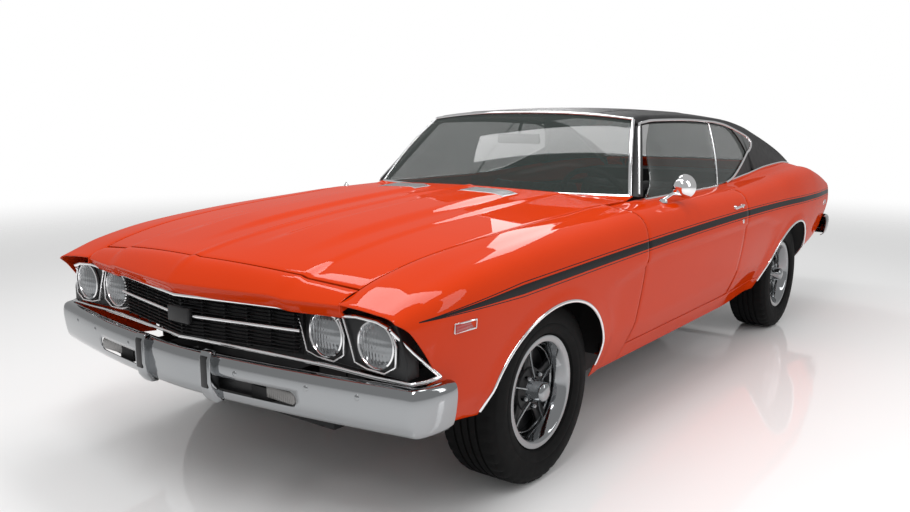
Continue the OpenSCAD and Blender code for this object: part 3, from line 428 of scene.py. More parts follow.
def fender_rows():
    """Rows along the left fender. Those ahead of NOSE_BLEND_Y are drawn to the slanted front edge."""
    places = (spread(NOSE_TIP_Y, -2.0, 22) + arch_places(FRONT_ARCH_Y, 44)
              + spread(FRONT_ARCH_Y + ARCH_HALF_L + ARCH_LIP, DOOR_FRONT_Y - SEAM, 14))
    rows = []
    for y in places:
        row = top_row(y, SEAM) + side_row(y, lower_z(y))
        if y < NOSE_BLEND_Y:
            drawn = []
            for k, (_, _, pz) in enumerate(row):
                cut = nose_cut_y(pz)
                yw = cut + (y - NOSE_TIP_Y) * (NOSE_BLEND_Y - cut) / (NOSE_BLEND_Y - NOSE_TIP_Y)
                drawn.append((top_row(yw, SEAM) + side_row(yw, lower_z(yw)))[k])
            row = drawn
        rows.append(row)
    return rows


left_fender = fender_rows()
for sign, side in SIDES:
    fit(shell("fender_skin_" + side, handed(left_fender, sign)), paint, "paint", "body", "fender_" + side)


# Doors: pressed outer skins folded round inner panels, hung on two hinges at the front edge.
# Both ends of the inner panel taper, so that they swing clear of the fender and the quarter panel.
DOOR_BOTTOM_Z, DOOR_IN_X, DOOR_T = 0.372, 0.794, 0.052
FRONT_TAPER, REAR_TAPER, TAPER_REACH = 0.39, 0.2, 0.15


def door_inner_row(row):
    """Inner face of the door: flat below the belt, and drawn in at both ends."""
    inner = []
    for px, py, pz in row:
        ix = min(px - DOOR_T, DOOR_IN_X)
        ahead, behind = py - DOOR_FRONT_Y - SEAM, DOOR_REAR_Y - SEAM - py
        front, rear = max(0.0, 1 - ahead / TAPER_REACH), max(0.0, 1 - behind / TAPER_REACH)
        inner.append((ix, py + (px - ix) * (FRONT_TAPER * front - REAR_TAPER * rear), pz))
    return inner


def block(name, outer, inner, edge=0.0015, smooth=32):
    """Closed body between two grids of points, with softly rolled edges."""
    n, m = len(outer), len(outer[0])
    k = n * m
    faces = grid_faces(n, m)
    faces += [(k + a, k + d, k + c, k + b) for a, b, c, d in faces]
    border = [j for j in range(m)] + [i * m + m - 1 for i in range(1, n)]
    border += [(n - 1) * m + j for j in range(m - 2, -1, -1)] + [i * m for i in range(n - 2, 0, -1)]
    faces += [(p, k + p, k + q, q) for p, q in zip(border, border[1:] + border[:1])]
    piece = new_piece(name, [p for grid in (outer, inner) for row in grid for p in row], faces)
    face_outward(piece)
    return soften(piece, edge, smooth)


left_door = [side_row(y, DOOR_BOTTOM_Z) for y in spread(DOOR_FRONT_Y + SEAM, DOOR_REAR_Y - SEAM, 36)]
door_lining = [door_inner_row(row) for row in left_door]
for sign, side in SIDES:
    leaf = block("door_shell_" + side, handed(left_door, sign), handed(door_lining, sign))
    fit(leaf, paint, "paint", "door_" + side, "door_" + side)

# Quarter panels: pressed steel from the door to the tail, with the shoulder that swells over the rear wheel.
# They are welded to the rear pillars above and to the rockers below.
SAIL_TIP_Y, ROCKER_END_Y = 1.890, 0.9


def quarter_row(y):
    low = max(lower_z(y), DOOR_BOTTOM_Z if y < ROCKER_END_Y else 0.0)
    return top_row(y, SEAM if y > SAIL_TIP_Y else 0.0) + side_row(y, low)


quarter_places = (spread(DOOR_REAR_Y + SEAM, REAR_ARCH_Y - ARCH_HALF_L - ARCH_LIP, 20)
                  + arch_places(REAR_ARCH_Y, 44)
                  + spread(REAR_ARCH_Y + ARCH_HALF_L + ARCH_LIP, SAIL_TIP_Y, 12)
                  + spread(SAIL_TIP_Y + 0.004, TAIL_Y, 26))
left_quarter = [quarter_row(y) for y in quarter_places]
for sign, side in SIDES:
    fit(shell("quarter_skin_" + side, handed(left_quarter, sign)), paint, "paint", "body", "quarter_" + side)

# Rockers: box sills of pressed steel below the doors, painted with the body.
# Their lower edge is turned under, towards the floor.
ROCKER_IN_X, ROCKER_RISE = 0.722, 0.012


def rocker_row(y):
    top = DOOR_BOTTOM_Z - (SEAM * 2 if y < DOOR_REAR_Y else 0.0005)
    low = along(BODY, LOW_Z, y)
    return [(side_x(y, z), y, z) for z in spread(top, low, 10)] + [(ROCKER_IN_X, y, low + ROCKER_RISE)]


left_rocker = [rocker_row(y) for y in spread(DOOR_FRONT_Y - SEAM, REAR_ARCH_Y - ARCH_HALF_L - ARCH_LIP, 40)]
for sign, side in SIDES:
    sill = fit(shell("rocker_" + side, handed(left_rocker, sign)), paint, "paint", "body")
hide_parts("rockers")

# Hood: one pressing with a centre peak and two long bulges, each closed at its rear by a bright louvred
# insert. It hangs on two steel arms at its rear corners. Each row of its table: place along the car, height
# of the centre line
HOOD = ((-2.494, .763), (-2.381, .832), (-2.000, .893), (-1.600, .930), (-1.200, .955), (-.846, .968),
        (-.700, .972))
HOOD_T = 0.008
BULGE_H, PEAK_H, PEAK_HALF, SHOULDER_H = 0.013, 0.005, 0.026, 0.006
BULGE_REAR_Y = -1.010


def hood_z(x, y):
    ex, _, ez = hood_edge(y)
    x, centre = abs(x), along(HOOD, 1, y)
    bulge = BULGE_H * ease(-2.30, -1.90, y) * ease(0.095, 0.150, x) * ease(0.385, 0.310, x)
    shoulder = SHOULDER_H * ease(0.476, 0.452, x)
    return (ez + (centre - ez) * (1 - min(1.0, x / ex) ** 1.8) + bulge * ease(-0.93, -1.02, y) + shoulder
            + PEAK_H * ease(PEAK_HALF, 0.0, x))


def hood_front_y(x):
    return -2.381 + 0.076 * (abs(x) / 0.66) ** 1.3


def hood_rear_y(x):
    return -0.846 + 0.120 * (abs(x) / 0.74) ** 2


def hood_rows():
    rows = []
    for s in spread(0.0, 1.0, 72):
        row = []
        for u in spread(-1.0, 1.0, 128):
            front, rear = hood_front_y(u * 0.69) + SEAM, hood_rear_y(u * 0.69)
            y = front + (rear - front) * s
            x = u * (along(BODY, EDGE_X, y) - SEAM)
            row.append((x, y, hood_z(x, y)))
        rows.append(row)
    return rows


def plate(name, outline, axis, low, high, bevel=0.0, segments=3, smooth=40):
    """Flat outline drawn across an axis and extruded along it, with rounded edges. axis is 0, 1 or 2."""
    def lift(a, b, c):
        return [(c, a, b), (a, c, b), (a, b, c)][axis]
    piece = new_piece(name, [lift(a, b, low) for a, b in outline], [tuple(range(len(outline)))])
    bpy.ops.object.mode_set(mode="EDIT")
    bpy.ops.mesh.select_all(action="SELECT")
    bpy.ops.mesh.extrude_region_move(TRANSFORM_OT_translate={"value": lift(0, 0, high - low)})
    bpy.ops.object.mode_set(mode="OBJECT")
    face_outward(piece)
    return soften(piece, bevel, smooth, segments, 40)


def join(name, pieces):
    """Joins pieces into the first one."""
    activate(pieces[0])
    for piece in pieces[1:]:
        piece.select_set(True)
    bpy.ops.object.join()
    pieces[0].name = name
    return pieces[0]


def ring(radius, a0, a1, n, centre=(0.0, 0.0)):
    """Points on an arc between two angles in degrees."""
    return [(centre[0] + radius * math.cos(math.radians(a)), centre[1] + radius * math.sin(math.radians(a)))
            for a in spread(a0, a1, n)]


def worn_finish(name, rough, grain=None, **constants):
    """A finish that is rougher in places. rough is its least roughness, what is added and the noise's scale;
    grain, where there is one, is a bump's scale, strength and depth."""
    finish, shade, shader = new_finish(name, **constants)
    spot = shade.place()[0]
    least, added, *scale = rough
    shade.feed(shader, {"Roughness": least + added * shade.noise(spot, *scale)})
    if grain:
        shade.feed(shader, {"Normal": shade.bump(shade.noise(spot, grain[0]), *grain[1:])})
    return finish


fit(shell("hood_skin", hood_rows(), thick=HOOD_T), paint, "paint", "hood", "hood")
HOOD_HINGE_X, HOOD_HINGE_Y, HOOD_HINGE_Z, ARM_HALF = 0.560, -0.7613, 0.915, 0.006
hinge_steel = worn_finish("hinge_steel", (0.42, 0.2, 60.0), Metallic=0.9, Base_Color=(0.10, 0.10, 0.105, 1))
hood_arm = ring(0.014, -120, 60, 10, (HOOD_HINGE_Y, HOOD_HINGE_Z)) + [
    (HOOD_HINGE_Y - 0.005, 0.941), (HOOD_HINGE_Y - 0.24, 0.941), (HOOD_HINGE_Y - 0.24, 0.923)]
for sign, side in SIDES:
    arm = plate("hood_arm_" + side, hood_arm, 0, sign * HOOD_HINGE_X - ARM_HALF,
                sign * HOOD_HINGE_X + ARM_HALF, 0.0015)
    fit(arm, hinge_steel, "chassis", "hood")

bright = worn_finish("bright_trim", (0.04, 0.07, 9.0, 4.0), Metallic=1.0, Base_Color=(0.86, 0.86, 0.87, 1))
satin = worn_finish("satin_silver", (0.26, 0.12, 160.0), Metallic=1.0, Base_Color=(0.55, 0.56, 0.57, 1))
LOUVRE_X, LOUVRE_BED_X, LOUVRE_BARS, LOUVRE_PITCH = (0.130, 0.352), (0.118, 0.364), 7, 0.014
# Each pair: offset along the car, height above the hood
LOUVRE_BAR = ((-0.005, 0.0006), (-0.0035, 0.0042), (0.0035, 0.0042), (0.005, 0.0006))
LOUVRE_BED = ((-0.1, 0.0003), (-0.098, 0.002), (0.012, 0.002), (0.014, 0.0003))
for sign, side in SIDES:
    bars = []
    for k in range(LOUVRE_BARS):
        bar_y = BULGE_REAR_Y - 0.085 + LOUVRE_PITCH * k
        row = [[(sign * px, bar_y + dy, hood_z(px, bar_y) + dz) for px in spread(*LOUVRE_X, 12)]
               for dy, dz in LOUVRE_BAR]
        bars.append(shell("louvre_bar", row if sign > 0 else [r[::-1] for r in row], thick=0.003, edge=0))
    bed = [[(sign * px, BULGE_REAR_Y + dy, hood_z(px, BULGE_REAR_Y + dy) + dz) for dy, dz in LOUVRE_BED]
           for px in spread(*LOUVRE_BED_X, 12)]
    bars.append(shell("louvre_bed", bed if sign < 0 else [r[::-1] for r in bed], thick=0.002, edge=0))
    fit(join("hood_louvre_" + side, bars), satin, "chrome", "hood")


# Nose panel: painted steel ahead of the hood, bolted between the fenders, with a V at the middle.
# It is folded under along its leading edge, above the grille.
NOSE_HALF, FOLD_ROWS, NOSE_ROWS = 0.655, 4, 20


def fold_y(x):
    return -2.494 + 0.109 * (abs(x) / NOSE_HALF) ** 1.2


def fold_z(x):
    return 0.763 + 0.003 * abs(x) / NOSE_HALF + 0.008 * ease(0.465, 0.405, abs(x)) - 0.004


def nose_rows():
    rows = []
    for k in range(-FOLD_ROWS, NOSE_ROWS + 1):
        row = []
        for u in spread(-1.0, 1.0, 96):
            seam_y = hood_front_y(u * 0.66) - SEAM
            seam_x, front_x, front_y = u * along(BODY, EDGE_X, seam_y), u * NOSE_HALF, fold_y(u * NOSE_HALF)
            if k < 0:
                row.append((front_x * (1 + 0.0015 * k), front_y - 0.0088 * k - 0.002,
                            fold_z(front_x) + 0.011 * k))
            else:
                r = k / NOSE_ROWS
                px, py = front_x + (seam_x - front_x) * r, front_y + (seam_y - front_y) * r
                top, low = hood_z(seam_x, seam_y), fold_z(px)
                row.append((px, py, low + (top - low) * math.sin(math.pi / 2 * r) ** 0.9))
        rows.append(row)
    return rows


fit(shell("nose_panel", nose_rows(), smooth=24), paint, "paint", "body", "header_panel")

# Cowl: the painted steel trough between the hood and the windshield, welded across the body.
# The glass is seated on its rear edge.
ROOF_FRONT_Y, COWL_HALF = -0.351, 0.735


def glass_base(u):
    return u * 0.722, -0.800 + 0.152 * u * u, 0.950


def glass_top(u):
    return u * 0.588, ROOF_FRONT_Y - 0.048 * (1 - u * u), 1.284 + 0.032 * (1 - abs(u) ** 2.4)


def cowl_column(u):
    """Points across the trough, from under the hood to the foot of the glass."""
    x, rear = u * COWL_HALF, hood_rear_y(u * COWL_HALF)
    lip_z = hood_z(u * 0.70, hood_rear_y(u * 0.7)) - 0.006
    _, foot_y, foot_z = glass_base(u)
    return [(x, -0.901, 0.862), (x, -0.875, 0.864), (x, rear + 0.015, 0.892), (x, rear + 0.022, lip_z),
            (x, foot_y + 0.004, foot_z + 0.0005)]


cowl_rows = list(zip(*(cowl_column(u) for u in spread(-1.0, 1.0, 48))))
fit(shell("cowl_trough", cowl_rows, edge=0), paint, "paint", "body", "cowl_panel")

# Glass: laminated windshield, tempered side and rear glass, all with a grey-green tint.
# The windshield is bonded to the cowl, its pillars and the roof's front edge.
GLASS_T = 0.005
glass, shade, shader = new_finish("tinted_glass", Base_Color=(0.030, 0.042, 0.038, 1), Roughness=0.012,
                                  IOR=1.75)
spot, x, y, z = shade.place()
shade.feed(shader, {"Alpha": 0.40 + 0.04 * shade.noise(spot, 3.0)})


def windshield_row(s):
    row = []
    for u in spread(-1.0, 1.0, 48):
        a, b = Vector(glass_base(u)) + Vector((0, 0.002, 0)), Vector(glass_top(u)) - Vector((0, 0.002, 0.004))
        row.append(tuple(a + (b - a) * s + Vector((0, -0.010, 0.016)) * math.sin(math.pi * s)))
    return row


windshield_grid = [windshield_row(s) for s in spread(0.0, 1.0, 24)]
fit(shell("windshield_glass", windshield_grid, thick=GLASS_T, edge=0), glass, "glass", "body", "windshield")

# Roof and rear pillars: steel covered with grained black vinyl, with sewn seams along the top. Each station
# of the roof: place along the car, x and z of the edge, z of the centre line. BELT gives x of the glass at
# the belt, and SAIL the height of the pillar's front edge.
ROOF = ((-.351, .588, 1.284, 1.316), (-.240, .608, 1.300, 1.331), (.100, .613, 1.303, 1.343),
        (.600, .608, 1.290, 1.337), (.800, .606, 1.279, 1.318), (1.108, .613, 1.240, 1.258),
        (1.330, .628, 1.188, 1.190), (1.560, .648, 1.125, 1.105), (1.740, .666, 1.066, 1.010),
        (1.890, .682, 1.004, 1.000))
RAIL_X, RAIL_Z, SPINE_Z = 1, 2, 3
BELT = ((-.700, .772), (.000, .776), (.348, .770), (.838, .742), (1.267, .719), (1.650, .702), (1.890, .684))
SAIL = ((.650, 1.288), (.760, 1.268), (.884, 1.226), (.960, 1.150), (1.000, 1.060), (1.010, 1.000))
BELT_Z, SAIL_FRONT_Y, SAIL_FOOT_Y = 0.939, 0.650, 1.010
ROOF_REAR_Y, ROOF_T, ROOF_GAP = 0.800, 0.024, 0.0003
vinyl, shade, shader = new_finish("roof_vinyl", Base_Color=(0.010, 0.010, 0.011, 1), Specular_IOR_Level=0.4)
spot, x, y, z = shade.place()
grain = shade.node("ShaderNodeTexVoronoi", {"feature": "SMOOTH_F1"}, {"Vector": spot, "Scale": 420.0})
shade.feed(shader, {"Roughness": 0.40 + 0.16 * shade.noise(spot, 30.0),
                    "Normal": shade.bump(grain, 0.30, 0.0006)})


def upper_x(y, z):
    """How far out the side glass and the rear pillar stand."""
    edge_x, edge_z, base = along(ROOF, RAIL_X, y), along(ROOF, RAIL_Z, y), along(BELT, 1, y)
    s = min(1.05, max(-0.05, (z - BELT_Z) / (edge_z - BELT_Z)))
    return base + (edge_x - base) * s + 0.014 * 4 * s * (1 - s) * ease(1.9, 0.9, y)


def sail_low(y):
    return along(SAIL, 1, y) if y <= SAIL_FOOT_Y else along(BODY, EDGE_Z, y) + ROOF_GAP


def rail_low(y):
    rail = along(ROOF, RAIL_Z, y) - 0.030
    return rail if y <= SAIL_FRONT_Y else min(rail, sail_low(y))


def roof_point(u, y):
    edge_x, edge_z, centre_z = (along(ROOF, c, y) for c in (RAIL_X, RAIL_Z, SPINE_Z))
    bow = 0.048 * (1 - u * u) * ease(-0.25, ROOF_FRONT_Y, y)
    return u * edge_x, y - bow, edge_z + (centre_z - edge_z) * (1 - abs(u) ** 2.4)


def roof_row(y):
    rail = [(upper_x(y, z) + 0.003, y, z) for z in spread(rail_low(y), along(ROOF, RAIL_Z, y) - 0.006, 3)]
    return ([(-px, py, pz) for px, py, pz in rail] + [roof_point(u, y) for u in spread(-0.992, 0.992, 44)]
            + rail[::-1])


roof_rows = [roof_row(y) for y in spread(ROOF_FRONT_Y, ROOF_REAR_Y, 48)]
fit(shell("roof_cover", roof_rows, thick=ROOF_T, edge=0.002, smooth=40), vinyl, "vinyl", "body", "roof")


def sail_row(y):
    """Points across the rear pillar, from beside the rear window out and down to its foot."""
    edge_x, edge_z, sink = along(ROOF, RAIL_X, y), along(ROOF, RAIL_Z, y), ease(1.1, 1.74, y)
    low = min(sail_low(y), edge_z - 0.003)
    flare = along(BODY, EDGE_X, y) + 0.005 - upper_x(y, low) if y > SAIL_FOOT_Y + 0.002 else 0.0
    inner = [(edge_x - 0.028, y, edge_z - 0.008 - 0.064 * sink),
             (edge_x - 0.012, y, edge_z - 0.002 - 0.026 * sink)]
    heights = spread(edge_z - 0.001, low, 12)
    return inner + [(upper_x(y, z) + flare * (k / 12) ** 2, y, z) for k, z in enumerate(heights)]


left_sail = [sail_row(y) for y in spread(ROOF_REAR_Y + ROOF_GAP, SAIL_FOOT_Y, 22)
             + spread(SAIL_FOOT_Y + 0.004, SAIL_TIP_Y, 40)]
for sign, side in SIDES:
    cover = shell("rear_pillar_" + side, handed(left_sail, sign), thick=ROOF_T, edge=0.002, smooth=40)
    fit(cover, vinyl, "vinyl", "body")
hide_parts("rear_pillars")


def sweep(name, path, outs, width, height, smooth=50):
    """Moulding with a domed section, laid along a path; outs are the surface's directions under it."""
    section = ((-0.5, -0.15), (-0.5, 0.45), (-0.36, 0.85), (0.0, 1.0), (0.36, 0.85), (0.5, 0.45),
               (0.5, -0.15))
    rings = []
    for k, (p, out) in enumerate(zip(path, outs)):
        ahead = (Vector(path[min(k + 1, len(path) - 1)]) - Vector(path[max(k - 1, 0)])).normalized()
        out = (Vector(out) - ahead * Vector(out).dot(ahead)).normalized()
        across = ahead.cross(out)
        rings.append([Vector(p) + across * a * width + out * b * height for a, b in section])
    n = len(section)
    faces = [(i * n + j, i * n + (j + 1) % n, (i + 1) * n + (j + 1) % n, (i + 1) * n + j)
             for i in range(len(rings) - 1) for j in range(n)]
    faces += [tuple(range(n)), tuple(reversed(range((len(rings) - 1) * n, len(rings) * n)))]
    piece = new_piece(name, [tuple(p) for r in rings for p in r], faces)
    face_outward(piece)
    return soften(piece, 0, smooth)


SEAM_SHARE = 0.66
for sign, side in SIDES:
    seam = [roof_point(sign * SEAM_SHARE, y) for y in spread(ROOF_FRONT_Y + 0.006, ROOF_REAR_Y - 0.01, 40)]
    fit(sweep("roof_seam_" + side, seam, [(0, 0, 1)] * len(seam), 0.009, 0.0016), vinyl, "vinyl", "body")

# Rear window: one tempered pane that slopes from the roof's rear edge to the deck.
# It is set in between the rear pillars, below their edges.
REAR_GLASS_LOW_Y = 1.738


def rear_glass_point(u, y):
    edge_z = along(ROOF, RAIL_Z, y) - 0.005 - 0.060 * ease(1.1, 1.74, y)
    edge_x = upper_x(y, edge_z) - ROOF_T - 0.003
    return u * edge_x, y, edge_z + (along(ROOF, SPINE_Z, y) - edge_z) * (1 - abs(u) ** 2.2)


rear_glass = [[rear_glass_point(u, y) for u in spread(-1.0, 1.0, 40)]
              for y in spread(ROOF_REAR_Y + ROOF_GAP, REAR_GLASS_LOW_Y, 36)]
fit(shell("rear_window_glass", rear_glass, thick=GLASS_T, edge=0), glass, "glass", "body", "rear_window")


# Side glass: tempered frameless windows, raised. Those in the doors move with them.
# The quarter windows behind them are fixed to the body.
def side_glass_row(s, base_ends, top_ends, bow, base_column):
    """Points from the top to the belt at a share s of the way from the window's front to its rear."""
    base_y, top_y = (front + (rear - front) * s for front, rear in (base_ends, top_ends))
    base_z, top_z = along(BODY, base_column, base_y) + 0.0009, rail_low(top_y) - 0.006
    row = []
    for f in spread(1.0, 0.0, 12):
        y, z = base_y + (top_y - base_y) * f + bow * s * s * 4 * f * (1 - f), base_z + (top_z - base_z) * f
        row.append((upper_x(y, z), y, z))
    return row


door_glass = [side_glass_row(s, (-0.600, 0.2875), (-0.258, 0.498), 0.0, CROWN_Z)
              for s in spread(0.0, 1.0, 24)]
quarter_glass = [side_glass_row(s, (0.298, 0.985), (0.510, 0.872), 0.045, EDGE_Z)
                 for s in spread(0.0, 1.0, 24)]
for sign, side in SIDES:
    fit(shell("door_window_" + side, handed(door_glass, sign), thick=GLASS_T, edge=0), glass, "glass",
        "door_" + side, "door_glass_" + side)
    pane = fit(shell("quarter_window_" + side, handed(quarter_glass, sign), thick=GLASS_T, edge=0), glass,
               "glass", "body")
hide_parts("quarter_glass")

# Deck: a steel filler panel under the rear window and the pressed lid of the trunk, both painted.
# The lid hangs on two gooseneck arms. Each row of the table: place along the car, height of the centre line
DECK = ((1.740, 1.008), (1.900, .996), (2.100, .958), (2.300, .900), (2.420, .856))
DECK_FRONT_Y, DECK_REAR_Y, FILLER_FRONT_Y = SAIL_TIP_Y + 0.006, 2.388, 1.739
DECK_GAP, FILLER_INSET, CORNER_SETBACK = 0.005, 0.022, 0.006
DECK_HINGE_X, DECK_HINGE_Y, DECK_HINGE_Z = 0.520, 1.862, 0.970
GOOSENECK = ((0.030, -0.050), (0.035, -0.052), (0.071, -0.052), (0.076, -0.049), (0.112, -0.004),
             (0.104, 0.000), (0.068, -0.041), (0.038, -0.041))


def deck_z(x, y):
    ex, _, ez = hood_edge(y)
    return ez + (along(DECK, 1, y) - ez) * (1 - min(1.0, abs(x) / ex) ** 2.2)


def deck_row(y, inset):
    half = along(BODY, EDGE_X, y) - inset
    return [(u * half, y, deck_z(u * half, y)) for u in spread(-1.0, 1.0, 48)]


filler = [deck_row(y, FILLER_INSET) for y in spread(FILLER_FRONT_Y, DECK_FRONT_Y, 12)]
lid = [deck_row(y, SEAM) for y in spread(DECK_FRONT_Y + DECK_GAP, DECK_REAR_Y, 36)]
lid[0] = [(px, py + CORNER_SETBACK * min(1.0, abs(px) / 0.690) ** 8, pz) for px, py, pz in lid[0]]
fit(shell("deck_filler_panel", filler), paint, "paint", "body", "deck_filler")
fit(shell("deck_lid_skin", lid, thick=HOOD_T), paint, "paint", "deck_lid", "deck_lid")
deck_arm = [(DECK_HINGE_Y + a, DECK_HINGE_Z + b) for a, b in (*ring(0.013, 30, 240, 14), *GOOSENECK)]
for sign, side in SIDES:
    arm = plate("deck_arm_" + side, deck_arm, 0, sign * DECK_HINGE_X - ARM_HALF,
                sign * DECK_HINGE_X + ARM_HALF, 0.0015)
    fit(arm, hinge_steel, "chassis", "deck_lid")

# Door fittings: steel hinge leaves that reach round the fender's edge, and a moulded black card with an
# armrest inside. Outside are a bright die-cast handle on two feet and a lock barrel.
HINGE_X, HINGE_Y, HINGE_Z, HINGE_H = 0.905, -0.995, (0.570, 0.790), 0.046
LEAF = (*ring(0.014, -140, 80, 12), (-0.046, 0.018), (-0.058, 0.1150), (-0.074, 0.1150), (-0.062, 0.004),
        (-0.048, -0.007))
CARD_TOP_Z, CARD_LOW_Z, CARD_FRONT, CARD_REAR = 0.880, 0.400, 0.085, 0.060
ARM_REST = ((-0.520, 0.640), (-0.500, 0.672), (0.020, 0.690), (0.060, 0.660), (0.030, 0.628))
GRIP = ((0.080, 0.847), (0.092, 0.853), (0.205, 0.861), (0.216, 0.857), (0.214, 0.849), (0.092, 0.842))
GRIP_FEET_Y, GRIP_FEET_Z, LOCK_Y, LOCK_Z = (0.096, 0.202), 0.851, 0.210, 0.772
cabin_black = worn_finish("cabin_black", (0.46, 0.14, 24.0), (620.0, 0.22, 0.0005),
                          Base_Color=(0.013, 0.013, 0.014, 1), Specular_IOR_Level=0.35)
card = [[(DOOR_IN_X - 0.001, y, z) for z in spread(CARD_TOP_Z, CARD_LOW_Z, 8)]
        for y in spread(DOOR_FRONT_Y + CARD_FRONT, DOOR_REAR_Y - CARD_REAR, 24)]
grip_x, lock_x = crown(0.150, 0.62)[0], side_x(LOCK_Y, 0.764)
for sign, side in SIDES:
    leaf = [(sign * (HINGE_X + a), HINGE_Y + b) for a, b in LEAF]
    leaves = [plate("hinge_leaf", leaf, 2, low, low + HINGE_H, 0.001) for low in HINGE_Z]
    fit(join("door_hinges_" + side, leaves), hinge_steel, "chassis", "door_" + side)
    panel = shell("door_card", handed(card, sign)[::-1], thick=0.006, edge=0.002)
    rest = plate("arm_rest", ARM_REST, 0, sign * (DOOR_IN_X - 0.062), sign * (DOOR_IN_X - 0.004), 0.012, 4)
    fit(join("door_card_" + side, [panel, rest]), cabin_black, "cabin_plastic", "door_" + side)
    grip = plate("handle_bar", GRIP, 0, sign * (grip_x + 0.011), sign * (grip_x + 0.0215), 0.003)
    feet = [plate("handle_foot", ring(0.010, 0, 340, 17, (foot_y, GRIP_FEET_Z)), 0, sign * (grip_x - 0.030),
                  sign * (grip_x + 0.018), 0.002) for foot_y in GRIP_FEET_Y]
    lock = plate("lock_barrel", ring(0.011, 0, 340, 17, (LOCK_Y, LOCK_Z)), 0, sign * (lock_x - 0.01),
                 sign * (lock_x + 0.0025), 0.002)
    fit(join("door_handle_" + side, [grip, *feet, lock]), bright, "chrome", "door_" + side)

# Windshield pillars: slim black posts beside the glass, from the cowl up to the roof.
# Each is a tapering box, given by the x and y of its four corners at its foot and at its head.
PILLAR_FOOT_Z, PILLAR_FOOT = 0.9455, ((0.723, -0.6405), (0.767, -0.6405), (0.767, -0.601), (0.723, -0.601))
PILLAR_HEAD_Z, PILLAR_HEAD = 1.2530, ((0.587, -0.362), (0.621, -0.362), (0.621, -0.319), (0.587, -0.319))
UNIT_SQUARE = ((0, 0), (1, 0), (1, 1), (0, 1))
for sign, side in SIDES:
    post = plate("windshield_pillar_" + side, UNIT_SQUARE, 2, 0.0, 1.0)
    for vertex in post.data.vertices:
        k = UNIT_SQUARE.index((round(vertex.co.x), round(vertex.co.y)))
        corners, z = ((PILLAR_FOOT, PILLAR_FOOT_Z), (PILLAR_HEAD, PILLAR_HEAD_Z))[round(vertex.co.z)]
        vertex.co = (sign * corners[k][0], corners[k][1], z)
    face_outward(post)
    apply_modifier(post, "BEVEL", width=0.005, segments=3)
    fit(post, vinyl, "vinyl", "body")
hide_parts("windshield_pillars")


# Bright mouldings: stamped stainless strips round the glass, along the gutters, the belt and the foot of
# the vinyl, and rolled lips along the wheel openings. They are clipped on.
def strips(name, body, width, height, paths):
    """Mouldings along some paths, joined. Each path is a list of points and the direction that it faces."""
    made = [sweep("strip", path, [out] * len(path), width, height) for path, out in paths]
    return fit(join(name, made), bright, "chrome", body)


def grid_sides(rows):
    return [row[0] for row in rows], [row[-1] for row in rows]


glass_head = [(px, py, pz + 0.003) for px, py, pz in windshield_grid[-1]]
edges = [windshield_grid[0], glass_head, *grid_sides(windshield_grid)]
facing = [(0, -0.75, 0.66), (0, -0.6, 0.8), (-0.35, -0.65, 0.6), (0.35, -0.65, 0.6)]
strips("windshield_moulding", "body", 0.016, 0.005, list(zip(edges, facing)))
edges = [rear_glass[0], rear_glass[-1], *grid_sides(rear_glass)]
facing = [(0, 0.3, 0.95), (0, 0.5, 0.86), (0, 0.4, 0.9), (0, 0.4, 0.9)]
strips("rear_window_moulding", "body", 0.014, 0.005, list(zip(edges, facing)))

# Upper and lower edge of the quarter window's pointed rear end. Each row: place along the car, height
WINDOW_TOP = ((.650, 1.262), (.760, 1.250), (.860, 1.232), (.950, 1.213), (1.030, 1.195), (1.100, 1.176),
              (1.134, 1.162), (1.144, 1.150))
WINDOW_LOW = ((.430, .944), (.550, .958), (.670, .985), (.800, 1.022), (.920, 1.062), (1.010, 1.093),
              (1.100, 1.119), (1.138, 1.138))
PILLAR_LINE = Vector((0.757, -0.628, 0.955)), Vector((0.618, -0.352, 1.262))


def on_sail(y, z):
    """How far out the rear pillar's outer face stands."""
    top, low = along(ROOF, RAIL_Z, y) - 0.001, sail_low(y)
    if y <= SAIL_FOOT_Y + 0.002:
        return upper_x(y, z)
    flare = along(BODY, EDGE_X, y) + 0.005 - upper_x(y, low)
    return upper_x(y, z) + flare * min(1.0, max(0.0, (top - z) / (top - low))) ** 2


def gutter_path():
    """Gutter and window frame: up the pillar, over the windows, round the tip and down to the belt."""
    path = [tuple(PILLAR_LINE[0].lerp(PILLAR_LINE[1], s)) for s in spread(0.0, 1.0, 10)]
    path += [(upper_x(y, rail_low(y) + 0.006) + 0.004, y, rail_low(y) + 0.006)
             for y in spread(-0.30, 0.60, 24)]
    rear = [(y, along(WINDOW_TOP, 1, y)) for y in spread(0.68, 1.144, 16)] + [(1.1455, 1.144)]
    rear += [(y, along(WINDOW_LOW, 1, y)) for y in spread(1.138, 0.440, 24)]
    return path + [(on_sail(y, z) + 0.006, y, z) for y, z in rear]


def tip_column(y):
    """Points down the dark pane that carries the quarter window over the pillar's front."""
    low = max(along(WINDOW_LOW, 1, min(y, 1.138)), along(SAIL, 1, y) - 0.012 if y < 1.0 else 0.0)
    return [(on_sail(y, z) + 0.0045, y, z) for z in spread(along(WINDOW_TOP, 1, y), low, 6)]


window_corner = [[(upper_x(y, z) + 0.0035, y, z)
                  for z in spread(along(WINDOW_LOW, 1, y), along(BODY, EDGE_Z, y) + 0.001, 8)]
                 for y in spread(0.430, 1.009, 30)]
window_tip = [tip_column(y) for y in spread(0.890, 1.1405, 24)]
dark_pane = worn_finish("dark_pane", (0.02, 0.02, 4.0), Base_Color=(0.014, 0.018, 0.017, 1), IOR=1.6)
for sign, side in SIDES:
    fit(shell("window_corner_" + side, handed(window_corner, sign), thick=0.003, edge=0), vinyl, "vinyl",
        "body")
    fit(shell("window_tip_" + side, handed(window_tip, sign), thick=0.003, edge=0), dark_pane, "glass",
        "body")


